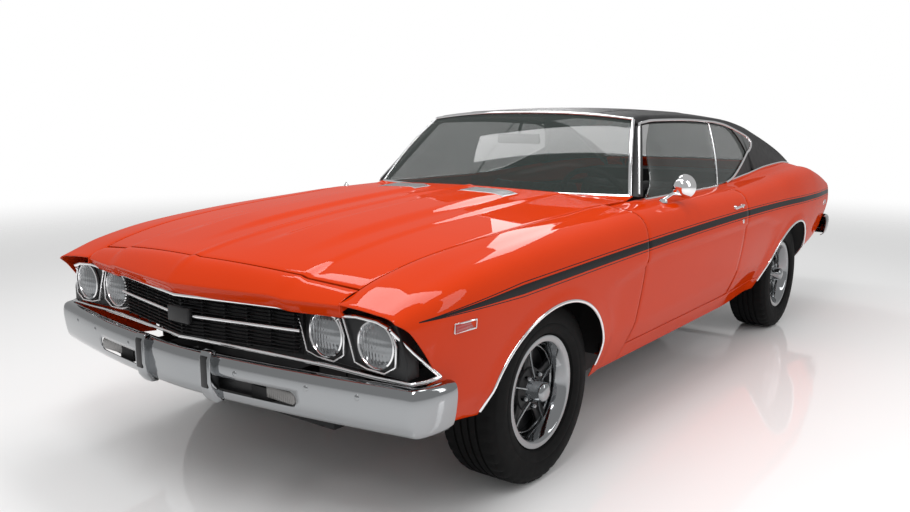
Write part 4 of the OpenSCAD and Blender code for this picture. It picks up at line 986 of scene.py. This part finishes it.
def arch_path(centre_y):
    path = []
    for a in (math.radians(a) for a in spread(2, 178, 60)):
        y, z = centre_y - ARCH_HALF_L * math.cos(a), WHEEL_Z + ARCH_H * math.sin(a) + 0.004
        path.append((min(side_x(y, z) - 0.001, cad_high[0] - 0.0062), y, z))
    return [p for p in path if p[2] > along(BODY, LOW_Z, p[1])]


def belt_point(y):
    z = along(BODY, CROWN_Z, y)
    return upper_x(y, z) + 0.006, y, z


def vinyl_foot_point(y):
    x, _, z = hood_edge(y)
    return x + 0.004, y, z + 0.001


# Each row: name, body, width, height, paths on the left side, the direction that they face
MOULDINGS = (
    ("gutter_moulding_", "body", 0.013, 0.007, [gutter_path()], (1, 0, 0.45)),
    ("belt_moulding_", "door_", 0.012, 0.008, [[belt_point(y) for y in spread(-0.615, 0.286, 24)]],
     (0.3, 0, 0.95)),
    ("vinyl_moulding_", "body", 0.012, 0.006, [[vinyl_foot_point(y) for y in spread(0.296, SAIL_TIP_Y, 60)]],
     (0.35, 0, 0.93)),
    ("window_bar_", "body", 0.010, 0.005, [[(x + 0.002, y, z) for x, y, z in quarter_glass[0]]], (1, 0, 0.4)),
    ("arch_mouldings_", "body", 0.012, 0.006, [arch_path(FRONT_ARCH_Y), arch_path(REAR_ARCH_Y)], (1, 0, 0)))
for sign, side in SIDES:
    for name, body, width, height, paths, (out_x, out_y, out_z) in MOULDINGS:
        strips(name + side, body + side if body.endswith("_") else body, width, height,
               [([(sign * x, y, z) for x, y, z in path], (sign * out_x, out_y, out_z)) for path in paths])

# Grille: a black pressing of fine level bars, V shaped in plan, held between the lamp pods. Bright bars run
# along its top, middle and foot and up beside the lamps, and a plain block stands at its middle.
GRILLE_HALF, GRILLE_BARS, GRILLE_PITCH = 0.462, 12, 0.0116
GRILLE_LOW_Z, GRILLE_MID_Z, GRILLE_TOP_Z = 0.590, 0.655, 0.7235
FOOT_BAR = ((0.0, -2.456, 0.583), (0.065, -2.446, 0.583), (0.384, -2.391, 0.574), (0.600, -2.356, 0.566),
            (0.751, -2.335, 0.557), (0.880, -2.330, 0.560), (0.900, -2.290, 0.562), (0.906, -2.236, 0.564))
LEG_BAR = ((0.818, -2.345, 0.706), (0.862, -2.300, 0.640), (0.906, -2.236, 0.566))
black_trim = worn_finish("black_trim", (0.34, 0.16, 40.0), Base_Color=(0.012, 0.012, 0.013, 1),
                         Specular_IOR_Level=0.4)


def grille_y(x):
    return -2.452 + 0.092 * abs(x) / GRILLE_HALF


def across_nose(z, forward):
    return [(x, grille_y(x) - forward, z) for x in spread(-GRILLE_HALF, GRILLE_HALF, 24)]


def post_outline(x):
    near, far = grille_y(x) + 0.004, grille_y(x) + 0.016
    return [(x - 0.003, near), (x + 0.003, near), (x + 0.003, far), (x - 0.003, far)]


bars = [sweep("grille_bar", across_nose(GRILLE_LOW_Z + GRILLE_PITCH * k, -0.006), [(0, -1, 0)] * 25, 0.004,
              0.012)
        for k in range(GRILLE_BARS)]
posts = [plate("grille_post", post_outline(x), 2, 0.576, 0.722) for x in spread(-0.44, 0.44, 10)]
back = shell("grille_back", [[(x, grille_y(x) + 0.020, z) for z in (0.726, 0.650, 0.574)]
                             for x in spread(-0.46, 0.46, 24)], thick=0.003, edge=0)
middle = plate("grille_centre", [(-0.056, 0.628), (0.056, 0.628), (0.056, 0.682), (-0.056, 0.682)], 1, -2.462,
               -2.440,
               0.006)
fit(join("grille_insert", bars + posts + [back, middle]), black_trim, "black_trim", "body", "grille")
mid_bar = [(x, grille_y(x) - 0.002, GRILLE_MID_Z) for x in spread(0.060, 0.470, 16)]
paths = [([(sign * x, y, z) for x, y, z in path], (0, -1, 0))
         for path in (mid_bar, FOOT_BAR) for sign, _ in SIDES]
paths += [(across_nose(GRILLE_TOP_Z, 0.014), (0, -1, 0))]
paths += [([(sign * x, y, z) for x, y, z in LEG_BAR], (sign * 0.5, -0.8, 0)) for sign, _ in SIDES]
strips("grille_mouldings", "body", 0.011, 0.007, paths)

# Lamp pods: black housings screwed to the nose, each with a bright outline and eyebrow round its lamp.
# There are two round sealed lamps a side, with fluted lenses in bright rims.
LAMP_X, LAMP_Y, LAMP_Z, LAMP_R = (0.555, 0.755), -2.335, 0.653, 0.071
POD = ((-0.126, 0.066), (-0.060, 0.072), (0.020, 0.068), (0.060, 0.056), (0.078, 0.010), (0.076, -0.050),
       (0.035, -0.076), (-0.030, -0.074), (-0.080, -0.062), (-0.100, 0.0))
LAMP_FACE = ((0.464, 0.572), (0.866, 0.566), (0.866, 0.620), (0.828, 0.722), (0.464, 0.728))
# Profiles that are turned about a lamp's axis. Each pair: radius, place along the axis
LENS = ((0.0, -0.014), (0.020, -0.0132), (0.040, -0.0105), (0.056, -0.006), (0.0625, -0.001), (0.0625, 0.03),
        (0.0, 0.03))
LAMP_RIM = ((0.0615, 0.004), (0.0625, -0.004), (0.066, -0.008), (0.0705, -0.006), (LAMP_R, 0.004))
LAMP_WELL = ((LAMP_R, 0.004), (LAMP_R + 0.001, -0.002), (LAMP_R + 0.006, -0.0025), (LAMP_R + 0.007, 0.012))


def turned(name, profile, centre, axis=1, n=64, smooth=35, groove=None):
    """Profile of radius and height turned about an axis through centre; groove may change a radius."""
    points = []
    for k in range(n):
        c, s = math.cos(math.tau * k / n), math.sin(math.tau * k / n)
        for r, h in profile:
            r = groove(k, r, h) if groove else r
            across = [(h, r * c, r * s), (r * c, h, r * s), (r * c, r * s, h)][axis]
            points.append(tuple(a + b for a, b in zip(centre, across)))
    m = len(profile)
    faces = [(k * m + j, k * m + j + 1, (k + 1) % n * m + j + 1, (k + 1) % n * m + j)
             for k in range(n) for j in range(m - 1)]
    piece = new_piece(name, points, faces)
    face_outward(piece, merge=0.00002)
    return soften(piece, 0, smooth)


lens, shade, shader = new_finish("lamp_lens", Base_Color=(0.26, 0.27, 0.28, 1), Roughness=0.05)
spot, x, y, z = shade.place()
flutes = shade.math("SINE", x * 520.0) * 0.5 + shade.math("SINE", z * 300.0) * 0.35
shade.feed(shader, {"Normal": shade.bump(flutes, 0.55, 0.002),
                    "Metallic": 0.55 + 0.25 * shade.noise(spot, 30.0)})
for sign, side in SIDES:
    wells, lenses, rims = [], [], []
    for lamp_x in LAMP_X:
        centre = (sign * lamp_x, LAMP_Y, LAMP_Z)
        lenses.append(turned("lens", LENS, centre))
        rims.append(turned("rim", LAMP_RIM, centre))
        edge = [(sign * (lamp_x + a), LAMP_Z + b) for a, b in POD]
        line = [(a, LAMP_Y - 0.004, b) for a, b in edge + edge[:1]]
        rims.append(sweep("pod_line", line, [(0, -1, 0)] * len(line), 0.006, 0.006))
        brow = [(a, LAMP_Y - 0.010, b + 0.003) for a, b in edge[:4]]
        rims.append(sweep("eyebrow", brow, [(0, -1, 0.3)] * len(brow), 0.013, 0.014))
        wells.append(turned("well", LAMP_WELL, centre))
    face = plate("lamp_housing", [(sign * a, b) for a, b in LAMP_FACE], 1, LAMP_Y + 0.002, -2.280, 0.004)
    fit(join("lamp_housing_" + side, [face] + wells), black_trim, "black_trim", "body")
    fit(join("lamp_rims_" + side, rims), bright, "chrome", "body")
    fit(join("lamp_lenses_" + side, lenses), lens, "lamp_glass", "body")
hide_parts("lamp_bezels")
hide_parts("front_lamps")

# Front bumper: a rolled and plated steel bar wrapped round the corners, slotted for air and the park lamps,
# with two rubber-faced guards and round bolt heads. Each pair of the section: millimetres out and up
BUMPER_SECTION = ((-34, 152), (-20, 153), (-9, 151), (-1, 145), (3, 136), (5, 122), (5, 104), (3, 84),
                  (0, 62), (-4, 40), (-9, 22), (-17, 10), (-30, 4))
BUMPER_LOW_Z, BAR_MIDDLE_Y, BAR_FLAT, BAR_SWEEP, BAR_POWER = 0.402, -2.482, 0.896, 0.118, 1.6
FLAT_SHARE, BAR_T = 0.8, 0.004
SLOT_FROM, SLOT_TO, SLOT_Z, SLOT_R = 0.184, 0.522, 0.468, 0.025
# The plated bumpers, guards, bolt heads and rims get a base colour darker than bare chrome. This is painted
# shade, standing in for the shaded floor that they reflect.
chrome = worn_finish("chrome", (0.05, 0.06, 9.0), Base_Color=(0.34, 0.35, 0.36, 1), Metallic=1.0)


def bumper_rows(section, low, middle, flat, bow, turn, face, power):
    """Rows of a bar that is nearly straight for most of its width and turns back at both ends."""
    rows = []
    for u in spread(-1.0, 1.0, 96):
        a = abs(u)
        if a < FLAT_SHARE:
            px, py = flat * u / FLAT_SHARE, middle + bow * (a / FLAT_SHARE) ** power
            nx, ny = 0.12 * u, 1.0
        else:
            t = (a - FLAT_SHARE) / (1 - FLAT_SHARE) * math.pi / 2
            px = math.copysign(flat + turn[0] * math.sin(t), u)
            py = middle + bow + turn[1] * (1 - math.cos(t))
            nx, ny = math.copysign(math.sin(t), u), math.cos(t)
        rows.append([(px + nx * out / 1000, face * (py - ny * out / 1000), low + up / 1000)
                     for out, up in section])
    return rows


rows = bumper_rows(BUMPER_SECTION, BUMPER_LOW_Z, BAR_MIDDLE_Y, BAR_FLAT, BAR_SWEEP, (0.052, 0.150), 1,
                   BAR_POWER)
bar = shell("front_bar", rows, thick=BAR_T, edge=0.0015)
slot = (ring(SLOT_R, 90, 270, 10, (SLOT_FROM + SLOT_R, SLOT_Z))
        + ring(SLOT_R, -90, 90, 10, (SLOT_TO - SLOT_R, SLOT_Z)))
for sign, _ in SIDES:
    cutter = plate("slot_cutter", [(sign * a, b) for a, b in slot], 1, -2.520, -2.380)
    apply_modifier(bar, "BOOLEAN", object=cutter, operation="DIFFERENCE", solver="EXACT")
    bpy.data.objects.remove(cutter)
fit(bar, chrome, "chrome", "body", "front_bumper")


def bar_y(x):
    return BAR_MIDDLE_Y + BAR_SWEEP * (abs(x) / BAR_FLAT) ** BAR_POWER


GUARD_X, GUARD_HALF, STRIP_HALF = 0.176, 0.025, 0.015
GUARD = ((-2.442, 0.397), (-2.470, 0.399), (-2.490, 0.425), (-2.4985, 0.470), (-2.4985, 0.545),
         (-2.489, 0.569), (-2.467, 0.571), (-2.462, 0.530), (-2.462, 0.430), (-2.442, 0.410))
GUARD_STRIP = ((-2.4975, 0.452), (-2.4998, 0.456), (-2.4998, 0.548), (-2.4972, 0.556), (-2.490, 0.540),
               (-2.490, 0.456))
PARK_LAMP = ((0.389, 0.448), (0.506, 0.448), (0.515, 0.456), (0.515, 0.480), (0.506, 0.488), (0.389, 0.488))
PARK_LAMP_X, RECESS_X, RECESS_HALF = 0.45, 0.353, 0.180
BOLT_HEAD = ((0.0, -0.0035), (0.005, -0.003), (0.009, -0.001), (0.0105, 0.002), (0.0105, 0.012))
BOLT_X, BOLT_Z, BOLT_OUT = (0.286, 0.735, 0.560), 0.512, 0.004
park_lens, shade, shader = new_finish("park_lens", Base_Color=(0.16, 0.155, 0.15, 1), Roughness=0.12,
                                      Coat_Weight=0.6)
spot, x, y, z = shade.place()
shade.feed(shader, {"Normal": shade.bump(shade.math("SINE", x * 700.0), 0.5, 0.002)})
guards, rubbers, recess, lamps, heads = [], [], [], [], []
for sign, _ in SIDES:
    guards.append(plate("guard", GUARD, 0, sign * GUARD_X - GUARD_HALF, sign * GUARD_X + GUARD_HALF, 0.006,
                        4))
    rubbers.append(plate("guard_rubber", GUARD_STRIP, 0, sign * GUARD_X - STRIP_HALF,
                         sign * GUARD_X + STRIP_HALF, 0.0008))
    across = spread(sign * RECESS_X - RECESS_HALF, sign * RECESS_X + RECESS_HALF, 12)
    recess.append(shell("slot_back", [[(x, bar_y(x) + 0.030, z) for z in (0.500, 0.470, 0.438)]
                                      for x in across],
                        thick=0.003, edge=0))
    lamp_y = bar_y(PARK_LAMP_X)
    lamps.append(plate("park_lamp", [(sign * a, b) for a, b in PARK_LAMP], 1, lamp_y + 0.010, lamp_y + 0.026,
                       0.004, 3))
    heads += [turned("bolt_head", BOLT_HEAD, (sign * bx, bar_y(bx) - BOLT_OUT, BOLT_Z), n=24)
              for bx in BOLT_X]
fit(join("bumper_guards", guards + heads), chrome, "chrome", "body")
fit(join("guard_rubbers", rubbers), black_trim, "black_trim", "body")
fit(join("bumper_recesses", recess), black_trim, "black_trim", "body")
fit(join("park_lamps", lamps), park_lens, "lamp_glass", "body")

# Tail: a black steel panel welded across the end of the body, with a painted sill under the lid's rear edge.
# It carries two red lamps in bright frames, and a plated bumper bar is bolted on below.
TAIL_LOW_Z, TAIL_INSET, SILL_Y, SILL_HALF = 0.548, 0.004, 2.396, 0.630
TAIL_LAMP, TAIL_LAMP_X = ((0.520, 0.640), (0.770, 0.640), (0.770, 0.730), (0.520, 0.730)), 0.645
REAR_SECTION = ((-24, 140), (-12, 141), (-3, 136), (2, 122), (4, 104), (3, 80), (1, 60), (-4, 38), (-10, 20),
                (-20, 9), (-34, 4))
tail_rim = [(pz, px) for px, _, pz in reversed(side_row(TAIL_Y, TAIL_LOW_Z))] + [hood_edge(TAIL_Y)[::-2]]


def tail_reach(z):
    """Half width of the body's end at a height."""
    for (z0, x0), (z1, x1) in zip(tail_rim, tail_rim[1:]):
        if z <= z1:
            return x0 + (x1 - x0) * (z - z0) / (z1 - z0) - TAIL_INSET
    return tail_rim[-1][1]


def tail_y(x):
    return 2.4163 + 0.024 * (1 - (x / 0.846) ** 2)


def tail_column(u):
    reach = [(tail_reach(z) * u, z) for z in spread(tail_rim[-1][0] - TAIL_INSET, TAIL_LOW_Z, 20)]
    return [(x, tail_y(x), z) for x, z in reach]


panel = shell("tail_panel_skin", [tail_column(u) for u in spread(-1.0, 1.0, 32)][::-1], thick=0.008,
              edge=0.0015)
fit(panel, black_trim, "black_trim", "body", "tail_panel")
sill_x = spread(-SILL_HALF, SILL_HALF, 32)
sill = [[(x, y, deck_z(x, SILL_Y) - 0.004) for x in sill_x] for y in (2.3935, 2.405)]
sill.append([(x, tail_y(x) - 0.009, deck_z(x, SILL_Y) - 0.007) for x in sill_x])
fit(shell("deck_sill", sill, thick=0.003), paint, "paint", "body")
red_lens, shade, shader = new_finish("red_lens", Base_Color=(0.35, 0.008, 0.006, 1), Roughness=0.12,
                                     Coat_Weight=0.8)
spot, x, y, z = shade.place()
shade.feed(shader, {"Normal": shade.bump(shade.math("SINE", z * 620.0), 0.45, 0.002)})
tail_lens, tail_frame = [], []
lamp_y = tail_y(TAIL_LAMP_X)
for sign, _ in SIDES:
    edge = [(sign * a, b) for a, b in TAIL_LAMP]
    tail_lens.append(plate("lens", edge, 1, lamp_y - 0.010, lamp_y + 0.018, 0.010, 4))
    line = [(a, lamp_y + 0.010, b) for a, b in edge + edge[:1]]
    tail_frame.append(sweep("frame_strip", line, [(0, 1, 0)] * 5, 0.012, 0.010))
fit(join("tail_lenses", tail_lens), red_lens, "lamp_red", "body", "tail_lamps")
fit(join("tail_frames", tail_frame), bright, "chrome", "body")
rows = bumper_rows(REAR_SECTION, 0.462, -2.496, 0.824, 0.060, (0.056, 0.190), -1, 2.0)
fit(shell("rear_bar", rows[::-1], thick=BAR_T, edge=0.0015), chrome, "chrome", "body", "rear_bumper")

# Wheels: a plated rim with a flared trim ring, round a pressed five-spoke centre painted black. Five bright
# nuts hold each to its hub, under a bright cap. Each pair of a profile: radius, place out along the axle
WHEELS = (("fl", "front_left", 1, FRONT_AXLE_Y), ("fr", "front_right", -1, FRONT_AXLE_Y),
          ("rl", "rear_left", 1, REAR_AXLE_Y), ("rr", "rear_right", -1, REAR_AXLE_Y))
HERE = (0.0, 0.0, 0.0)
BARREL = ((0.205, 0.088), (0.2055, 0.098), (0.203, 0.1015), (0.199, 0.1025), (0.184, 0.1012), (0.1795, 0.098),
          (0.176, 0.092), (0.167, 0.074), (0.160, 0.058), (0.157, 0.046), (0.160, 0.034), (0.168, -0.010),
          (0.176, -0.085), (0.192, -0.094), (0.203, -0.098), (0.205, -0.088))
CAP = ((0.0, 0.122), (0.014, 0.1215), (0.026, 0.119), (0.033, 0.114), (0.036, 0.106), (0.040, 0.074),
       (0.044, 0.064), (0.046, 0.058))
SPOKE_RING = ((0.154, 0.040), (0.156, 0.0445), (0.163, 0.0455), (0.170, 0.044), (0.172, 0.034))
HUB_DISH = ((0.045, 0.060), (0.060, 0.058), (0.078, 0.050), (0.084, 0.036), (0.084, 0.020))
BACK_DISC = ((0.050, 0.002), (0.168, 0.006))
NUT = ((0.0, 0.076), (0.005, 0.0755), (0.0085, 0.072), (0.0095, 0.066), (0.0095, 0.052))
SPOKE = ((0.060, -0.036), (0.100, -0.024), (0.158, -0.031), (0.166, -0.012), (0.166, 0.012), (0.158, 0.031),
         (0.100, 0.024), (0.060, 0.036))
RIDGE = ((0.046, 0.066), (0.080, 0.056), (0.120, 0.047), (0.158, 0.0445))
SPOKES, NUT_CIRCLE_R = 5, 0.0603
rim_parts = [turned("barrel", BARREL, HERE, 0, 96), turned("cap", CAP, HERE, 0, 48),
             turned("spoke_ring", SPOKE_RING, HERE, 0, 96)]
spoke_parts = [turned("hub_dish", HUB_DISH, HERE, 0), turned("back_disc", BACK_DISC, HERE, 0)]
for k in range(SPOKES):
    turn = math.tau * k / SPOKES + math.pi / 2
    c, s = math.cos(turn), math.sin(turn)
    spoke_parts.append(plate("spoke", [(a * c - b * s, a * s + b * c) for a, b in SPOKE], 0, 0.030, 0.0435,
                             0.004, 3))
    rim_parts.append(sweep("ridge", [(h, r * c, r * s) for r, h in RIDGE], [(1, 0, 0)] * 4, 0.007, 0.006))
    turn += math.pi / SPOKES
    rim_parts.append(turned("nut", NUT, (0.0, NUT_CIRCLE_R * math.cos(turn), NUT_CIRCLE_R * math.sin(turn)),
                            0, 12))
rim_master, spoke_master = join("rim_master", rim_parts), join("spoke_master", spoke_parts)

# Tyres: moulded rubber with plain sidewalls, a raised rib, five tread ribs and notched shoulders. Each pair
# of the half profile, from the bead out to the middle of the tread: radius, place out along the axle
rubber = worn_finish("rubber", (0.62, 0.18, 30.0), (260.0, 0.15, 0.0006),
                     Base_Color=(0.004, 0.004, 0.0042, 1),
                     Specular_IOR_Level=0.15)
TYRE_HALF = ((0.190, 0.090), (0.2063, 0.0937), (0.212, 0.108), (0.230, 0.116), (0.244, 0.1178),
             (0.248, 0.1165), (0.252, 0.1178), (0.272, 0.1172), (0.3015, 0.112), (0.309, 0.1085),
             (0.311, 0.1055), (0.3225, 0.100), (0.3290, 0.090), (0.3308, 0.080), (0.3310, 0.052),
             (0.3245, 0.0505), (0.3245, 0.0435), (0.3313, 0.042), (0.3314, 0.020), (0.3245, 0.0185),
             (0.3245, 0.0115), (0.3315, 0.010))
tyre_profile = [*TYRE_HALF, *((r, -h) for r, h in reversed(TYRE_HALF)), TYRE_HALF[0]]
NOTCH_DEPTH, SHOULDER_R, SHOULDER_OUT, NOTCH_EVERY = 0.005, 0.318, 0.078, 4


def notch(k, r, h):
    return r - NOTCH_DEPTH if r > SHOULDER_R and abs(h) > SHOULDER_OUT and k % NOTCH_EVERY == 0 else r


tyre_master = turned("tyre_master", tyre_profile, HERE, 0, 168, 32, notch)


def placed(master, name, sign, centre):
    """Copy of a piece modelled about the origin and facing +X, set at a wheel's centre and facing outward."""
    piece = master.copy()
    piece.data = master.data.copy()
    piece.name = piece.data.name = name
    bpy.context.collection.objects.link(piece)
    for vertex in piece.data.vertices:
        a, b, c = vertex.co
        vertex.co = (centre[0] + sign * a, centre[1] + sign * b, centre[2] + c)
    return piece


for short, corner, sign, axle_y in WHEELS:
    centre = (sign * WHEEL_X, axle_y, WHEEL_Z)
    fit(placed(tyre_master, "tyre_" + corner, sign, centre), rubber, "tyre_rubber", "wheel_" + corner,
        "tyre_" + short)
    fit(placed(rim_master, "rim_" + corner, sign, centre), chrome, "wheel_metal", "wheel_" + corner,
        "wheel_" + short)
    fit(placed(spoke_master, "spokes_" + corner, sign, centre), black_trim, "black_trim", "wheel_" + corner)
for master in (tyre_master, rim_master, spoke_master):
    bpy.data.objects.remove(master)

# Small outside fittings: a plated mirror on the driver's door, red side marker lamps in bright frames, two
# a side, and an antenna base on the right fender. Each is screwed to its panel.
MIRROR_HEAD = ((0.0, -0.0300), (0.014, -0.0295), (0.026, -0.026), (0.034, -0.018), (0.046, 0.010),
               (0.0535, 0.034), (0.0545, 0.038), (0.0535, 0.0395), (0.051, 0.038), (0.049, 0.033),
               (0.0, 0.032))
MIRROR_FOOT = ((0.0, 0.016), (0.010, 0.0155), (0.016, 0.012), (0.0178, 0.006), (0.0178, -0.002),
               (0.0, -0.002))
ANTENNA_BASE = ((0.0, 0.020), (0.004, 0.019), (0.0055, 0.012), (0.012, 0.006), (0.014, -0.002), (0.0, -0.003))
# Each row: front, rear, lower and upper edge
MARKERS = ((-2.184, -2.090, 0.681, 0.707), (2.110, 2.204, 0.700, 0.726))
foot, head = Vector(crown(-0.593, 0.2)), Vector((0.896, -0.500, 0.990))
arm = [foot + Vector((0, 0, 0.008)), Vector(((foot.x + head.x) / 2, foot.y + 0.040, foot.z + 0.034)),
       head + Vector((0, -0.010, -0.030))]
mirror_parts = [turned("mirror_head", MIRROR_HEAD, head, 1, 48),
                turned("mirror_foot", MIRROR_FOOT, foot + Vector((0, 0, 0.001)), 2, 32),
                sweep("mirror_arm", arm, [(0, -1, 0)] * 3, 0.014, 0.012)]
fit(join("mirror_outside", mirror_parts), bright, "chrome", "door_left", "door_mirror")
for sign, side in SIDES:
    lenses, frames = [], []
    for y0, y1, z0, z1 in MARKERS:
        edge = [(y0, z0), (y1, z0), (y1, z1), (y0, z1)]
        face_x = (side_x(y0, (z0 + z1) / 2) + side_x(y1, (z0 + z1) / 2)) / 2
        lenses.append(plate("marker_lens", edge, 0, sign * (face_x - 0.008), sign * (face_x + 0.003), 0.002))
        line = [(sign * (side_x(py, pz) - 0.001), py, pz) for py, pz in edge + edge[:1]]
        frames.append(sweep("marker_frame", line, [(sign, 0, 0)] * 5, 0.006, 0.005))
    fit(join("marker_lenses_" + side, lenses), red_lens, "lamp_red", "body")
    fit(join("marker_frames_" + side, frames), bright, "chrome", "body")
base_x, base_y, base_z = crown(-0.820, 0.12)
fit(turned("antenna_base", ANTENNA_BASE, (-base_x, base_y, base_z), 2, 24), bright, "chrome", "body")

# Seats: foam pads in pleated black vinyl on sprung frames, a bench with two backs in front and a bench
# behind. Each pad is blown up a little by a cloth simulation, and its pleats are then drawn in.
PAD_CAP, PAD_VOXEL, PAD_FRAMES, PAD_PRESSURE = 0.012, 0.017, 20, 4.0
PLEAT, PLEAT_HALF, PLEAT_DEPTH = 0.078, 0.014, 0.006
FRONT_CUSHION = ((-0.366, 0.318), (-0.366, 0.500), (-0.330, 0.538), (0.128, 0.530), (0.128, 0.318))
REAR_CUSHION = ((0.714, 0.540), (0.714, 0.576), (0.740, 0.590), (1.120, 0.590), (1.120, 0.540))
upholstery = worn_finish("upholstery", (0.42, 0.16, 30.0), (480.0, 0.25, 0.0006),
                         Base_Color=(0.014, 0.014, 0.015, 1),
                         Specular_IOR_Level=0.4)


def leaned(y, z, lean, deep, high):
    """Outline of a seat back that stands at (y, z) and leans to the rear by so many degrees."""
    c, s = math.cos(math.radians(lean)), math.sin(math.radians(lean))
    near, far = 0.012, deep - 0.012
    inside = [(near, 0.012), (far, 0.012), (far, high - 0.05), (deep - 0.045, high - 0.012),
              (0.045, high - 0.012),
              (near, high - 0.06)]
    return [(y + a * c + b * s, z - a * s + b * c) for a, b in inside]


front_back = leaned(0.100, 0.540, 14, 0.130, 0.420)
# Each row: name, outline, left and right end, rounding
PADS = (("front_cushion", FRONT_CUSHION, -0.626, 0.626, 0.024),
        ("front_back_left", front_back, 0.032, 0.618, 0.024),
        ("front_back_right", front_back, -0.618, -0.032, 0.024),
        ("rear_cushion", REAR_CUSHION, -0.536, 0.536, 0.012),
        ("rear_back", leaned(1.110, 0.5705, 18, 0.130, 0.360), -0.536, 0.536, 0.024))
pads = [plate(name, outline, 0, low, high, rounding, 4) for name, outline, low, high, rounding in PADS]
for piece in pads:
    apply_modifier(piece, "REMESH", mode="VOXEL", voxel_size=PAD_VOXEL)
was = [[vertex.co.copy() for vertex in piece.data.vertices] for piece in pads]
for piece in pads:
    cloth = piece.modifiers.new("Cloth", "CLOTH")
    cloth.settings.use_pressure = True
    cloth.settings.uniform_pressure_force = PAD_PRESSURE
    cloth.settings.effector_weights.gravity = 0.0
    cloth.collision_settings.use_collision = False
    cloth.point_cache.frame_end = PAD_FRAMES
for k in range(1, PAD_FRAMES + 1):
    bpy.context.scene.frame_set(k)
for piece, start in zip(pads, was):
    activate(piece)
    bpy.ops.object.modifier_apply(modifier="Cloth")
    for vertex, point in zip(piece.data.vertices, start):
        move = vertex.co - point
        if move.length > PAD_CAP:
            vertex.co = point + move * (PAD_CAP / move.length)
bpy.context.scene.frame_set(1)
for piece in pads:
    apply_modifier(piece, "SUBSURF", levels=1, render_levels=1)
    outs = [vertex.normal.copy() for vertex in piece.data.vertices]
    for vertex, out in zip(piece.data.vertices, outs):
        from_seam = abs((vertex.co.x / PLEAT + 0.5) % 1 - 0.5) * PLEAT
        if abs(out.x) < 0.5:
            vertex.co -= out * max(0.0, 1 - from_seam / PLEAT_HALF) * PLEAT_DEPTH
    activate(piece)
    bpy.ops.object.shade_smooth()
    fit(piece, upholstery, "upholstery", "body")
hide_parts("front_seat")
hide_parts("rear_seat")

# Cabin: a padded dash, the steering column and the wheel in black plastic, as the frame has them.
# A mirror hangs on a stem behind the windshield.
for name in ("dashboard", "steering_column", "steering_wheel"):
    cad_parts[name].material_slots[0].material = cabin_black
INSIDE_MIRROR = ((-0.120, 1.158), (0.120, 1.158), (0.126, 1.170), (0.120, 1.208), (-0.120, 1.208),
                 (-0.126, 1.170))
back = plate("mirror_inside", INSIDE_MIRROR, 1, -0.436, -0.420, 0.004)
stem = sweep("mirror_stem", [(0, -0.428, 1.200), (0, -0.420, 1.235), (0, -0.404, 1.262)], [(0, 1, 0)] * 3,
             0.016, 0.010)
fit(join("mirror_inside", [back, stem]), cabin_black, "cabin_plastic", "body")

# Underside: the welded frame, floor, wheel housings and axles in satin black, the engine in its paint, and
# pipes and tank in bare steel. Liners close the rear wheel openings towards the trunk.
chassis = worn_finish("chassis", (0.55, 0.2, 14.0), (240.0, 0.15, 0.0008),
                      Base_Color=(0.016, 0.016, 0.017, 1),
                      Specular_IOR_Level=0.35)
steel = worn_finish("exhaust_steel", (0.30, 0.3, 18.0), Base_Color=(0.34, 0.34, 0.35, 1), Metallic=1.0)
ENGINE_CLEAN, ENGINE_GRIMY = (0.42, 0.055, 0.012, 1), (0.26, 0.034, 0.010, 1)
engine_paint, shade, shader = new_finish("engine_paint", Coat_Weight=0.3)
spot, x, y, z = shade.place()
grime = shade.noise(spot, 6.0)
shade.feed(shader, {"Base Color": grime.mix(ENGINE_CLEAN, ENGINE_GRIMY), "Roughness": 0.32 + 0.3 * grime})
BLACK_NODES = ("frame", "floor_pan", "wheelhouses", "radiator", "drive_shaft", "suspension", "rear_axle",
               "knuckle_left", "knuckle_right", "hinge_pins")
for finish, names in ((chassis, BLACK_NODES), (engine_paint, ("engine",)), (steel, ("exhaust", "fuel_tank"))):
    for name in names:
        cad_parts[name].material_slots[0].material = finish

APRON_X, LINER_R = 0.575, 0.386
apron = [[(APRON_X, y, z) for z in spread(0.500, 0.345, 4)] for y in spread(1.420, 1.700, 6)]
liner = []
for a in spread(math.radians(6), math.radians(174), 36):
    y, z = REAR_ARCH_Y - LINER_R * math.cos(a), WHEEL_Z + LINER_R * math.sin(a)
    liner.append([(x, y, z) for x in spread(APRON_X + 0.001, side_x(y, z) - 0.006, 6)])
for sign, side in SIDES:
    wall = shell("apron_wall", handed(apron, sign), thick=0.003, edge=0)
    wrap = shell("apron_wrap", handed(liner, sign), thick=0.002, edge=0)
    fit(join("rear_apron_" + side, [wall, wrap]), chassis, "chassis", "body")

# Picture settings.
bpy.context.scene.view_settings.view_transform = "Standard"
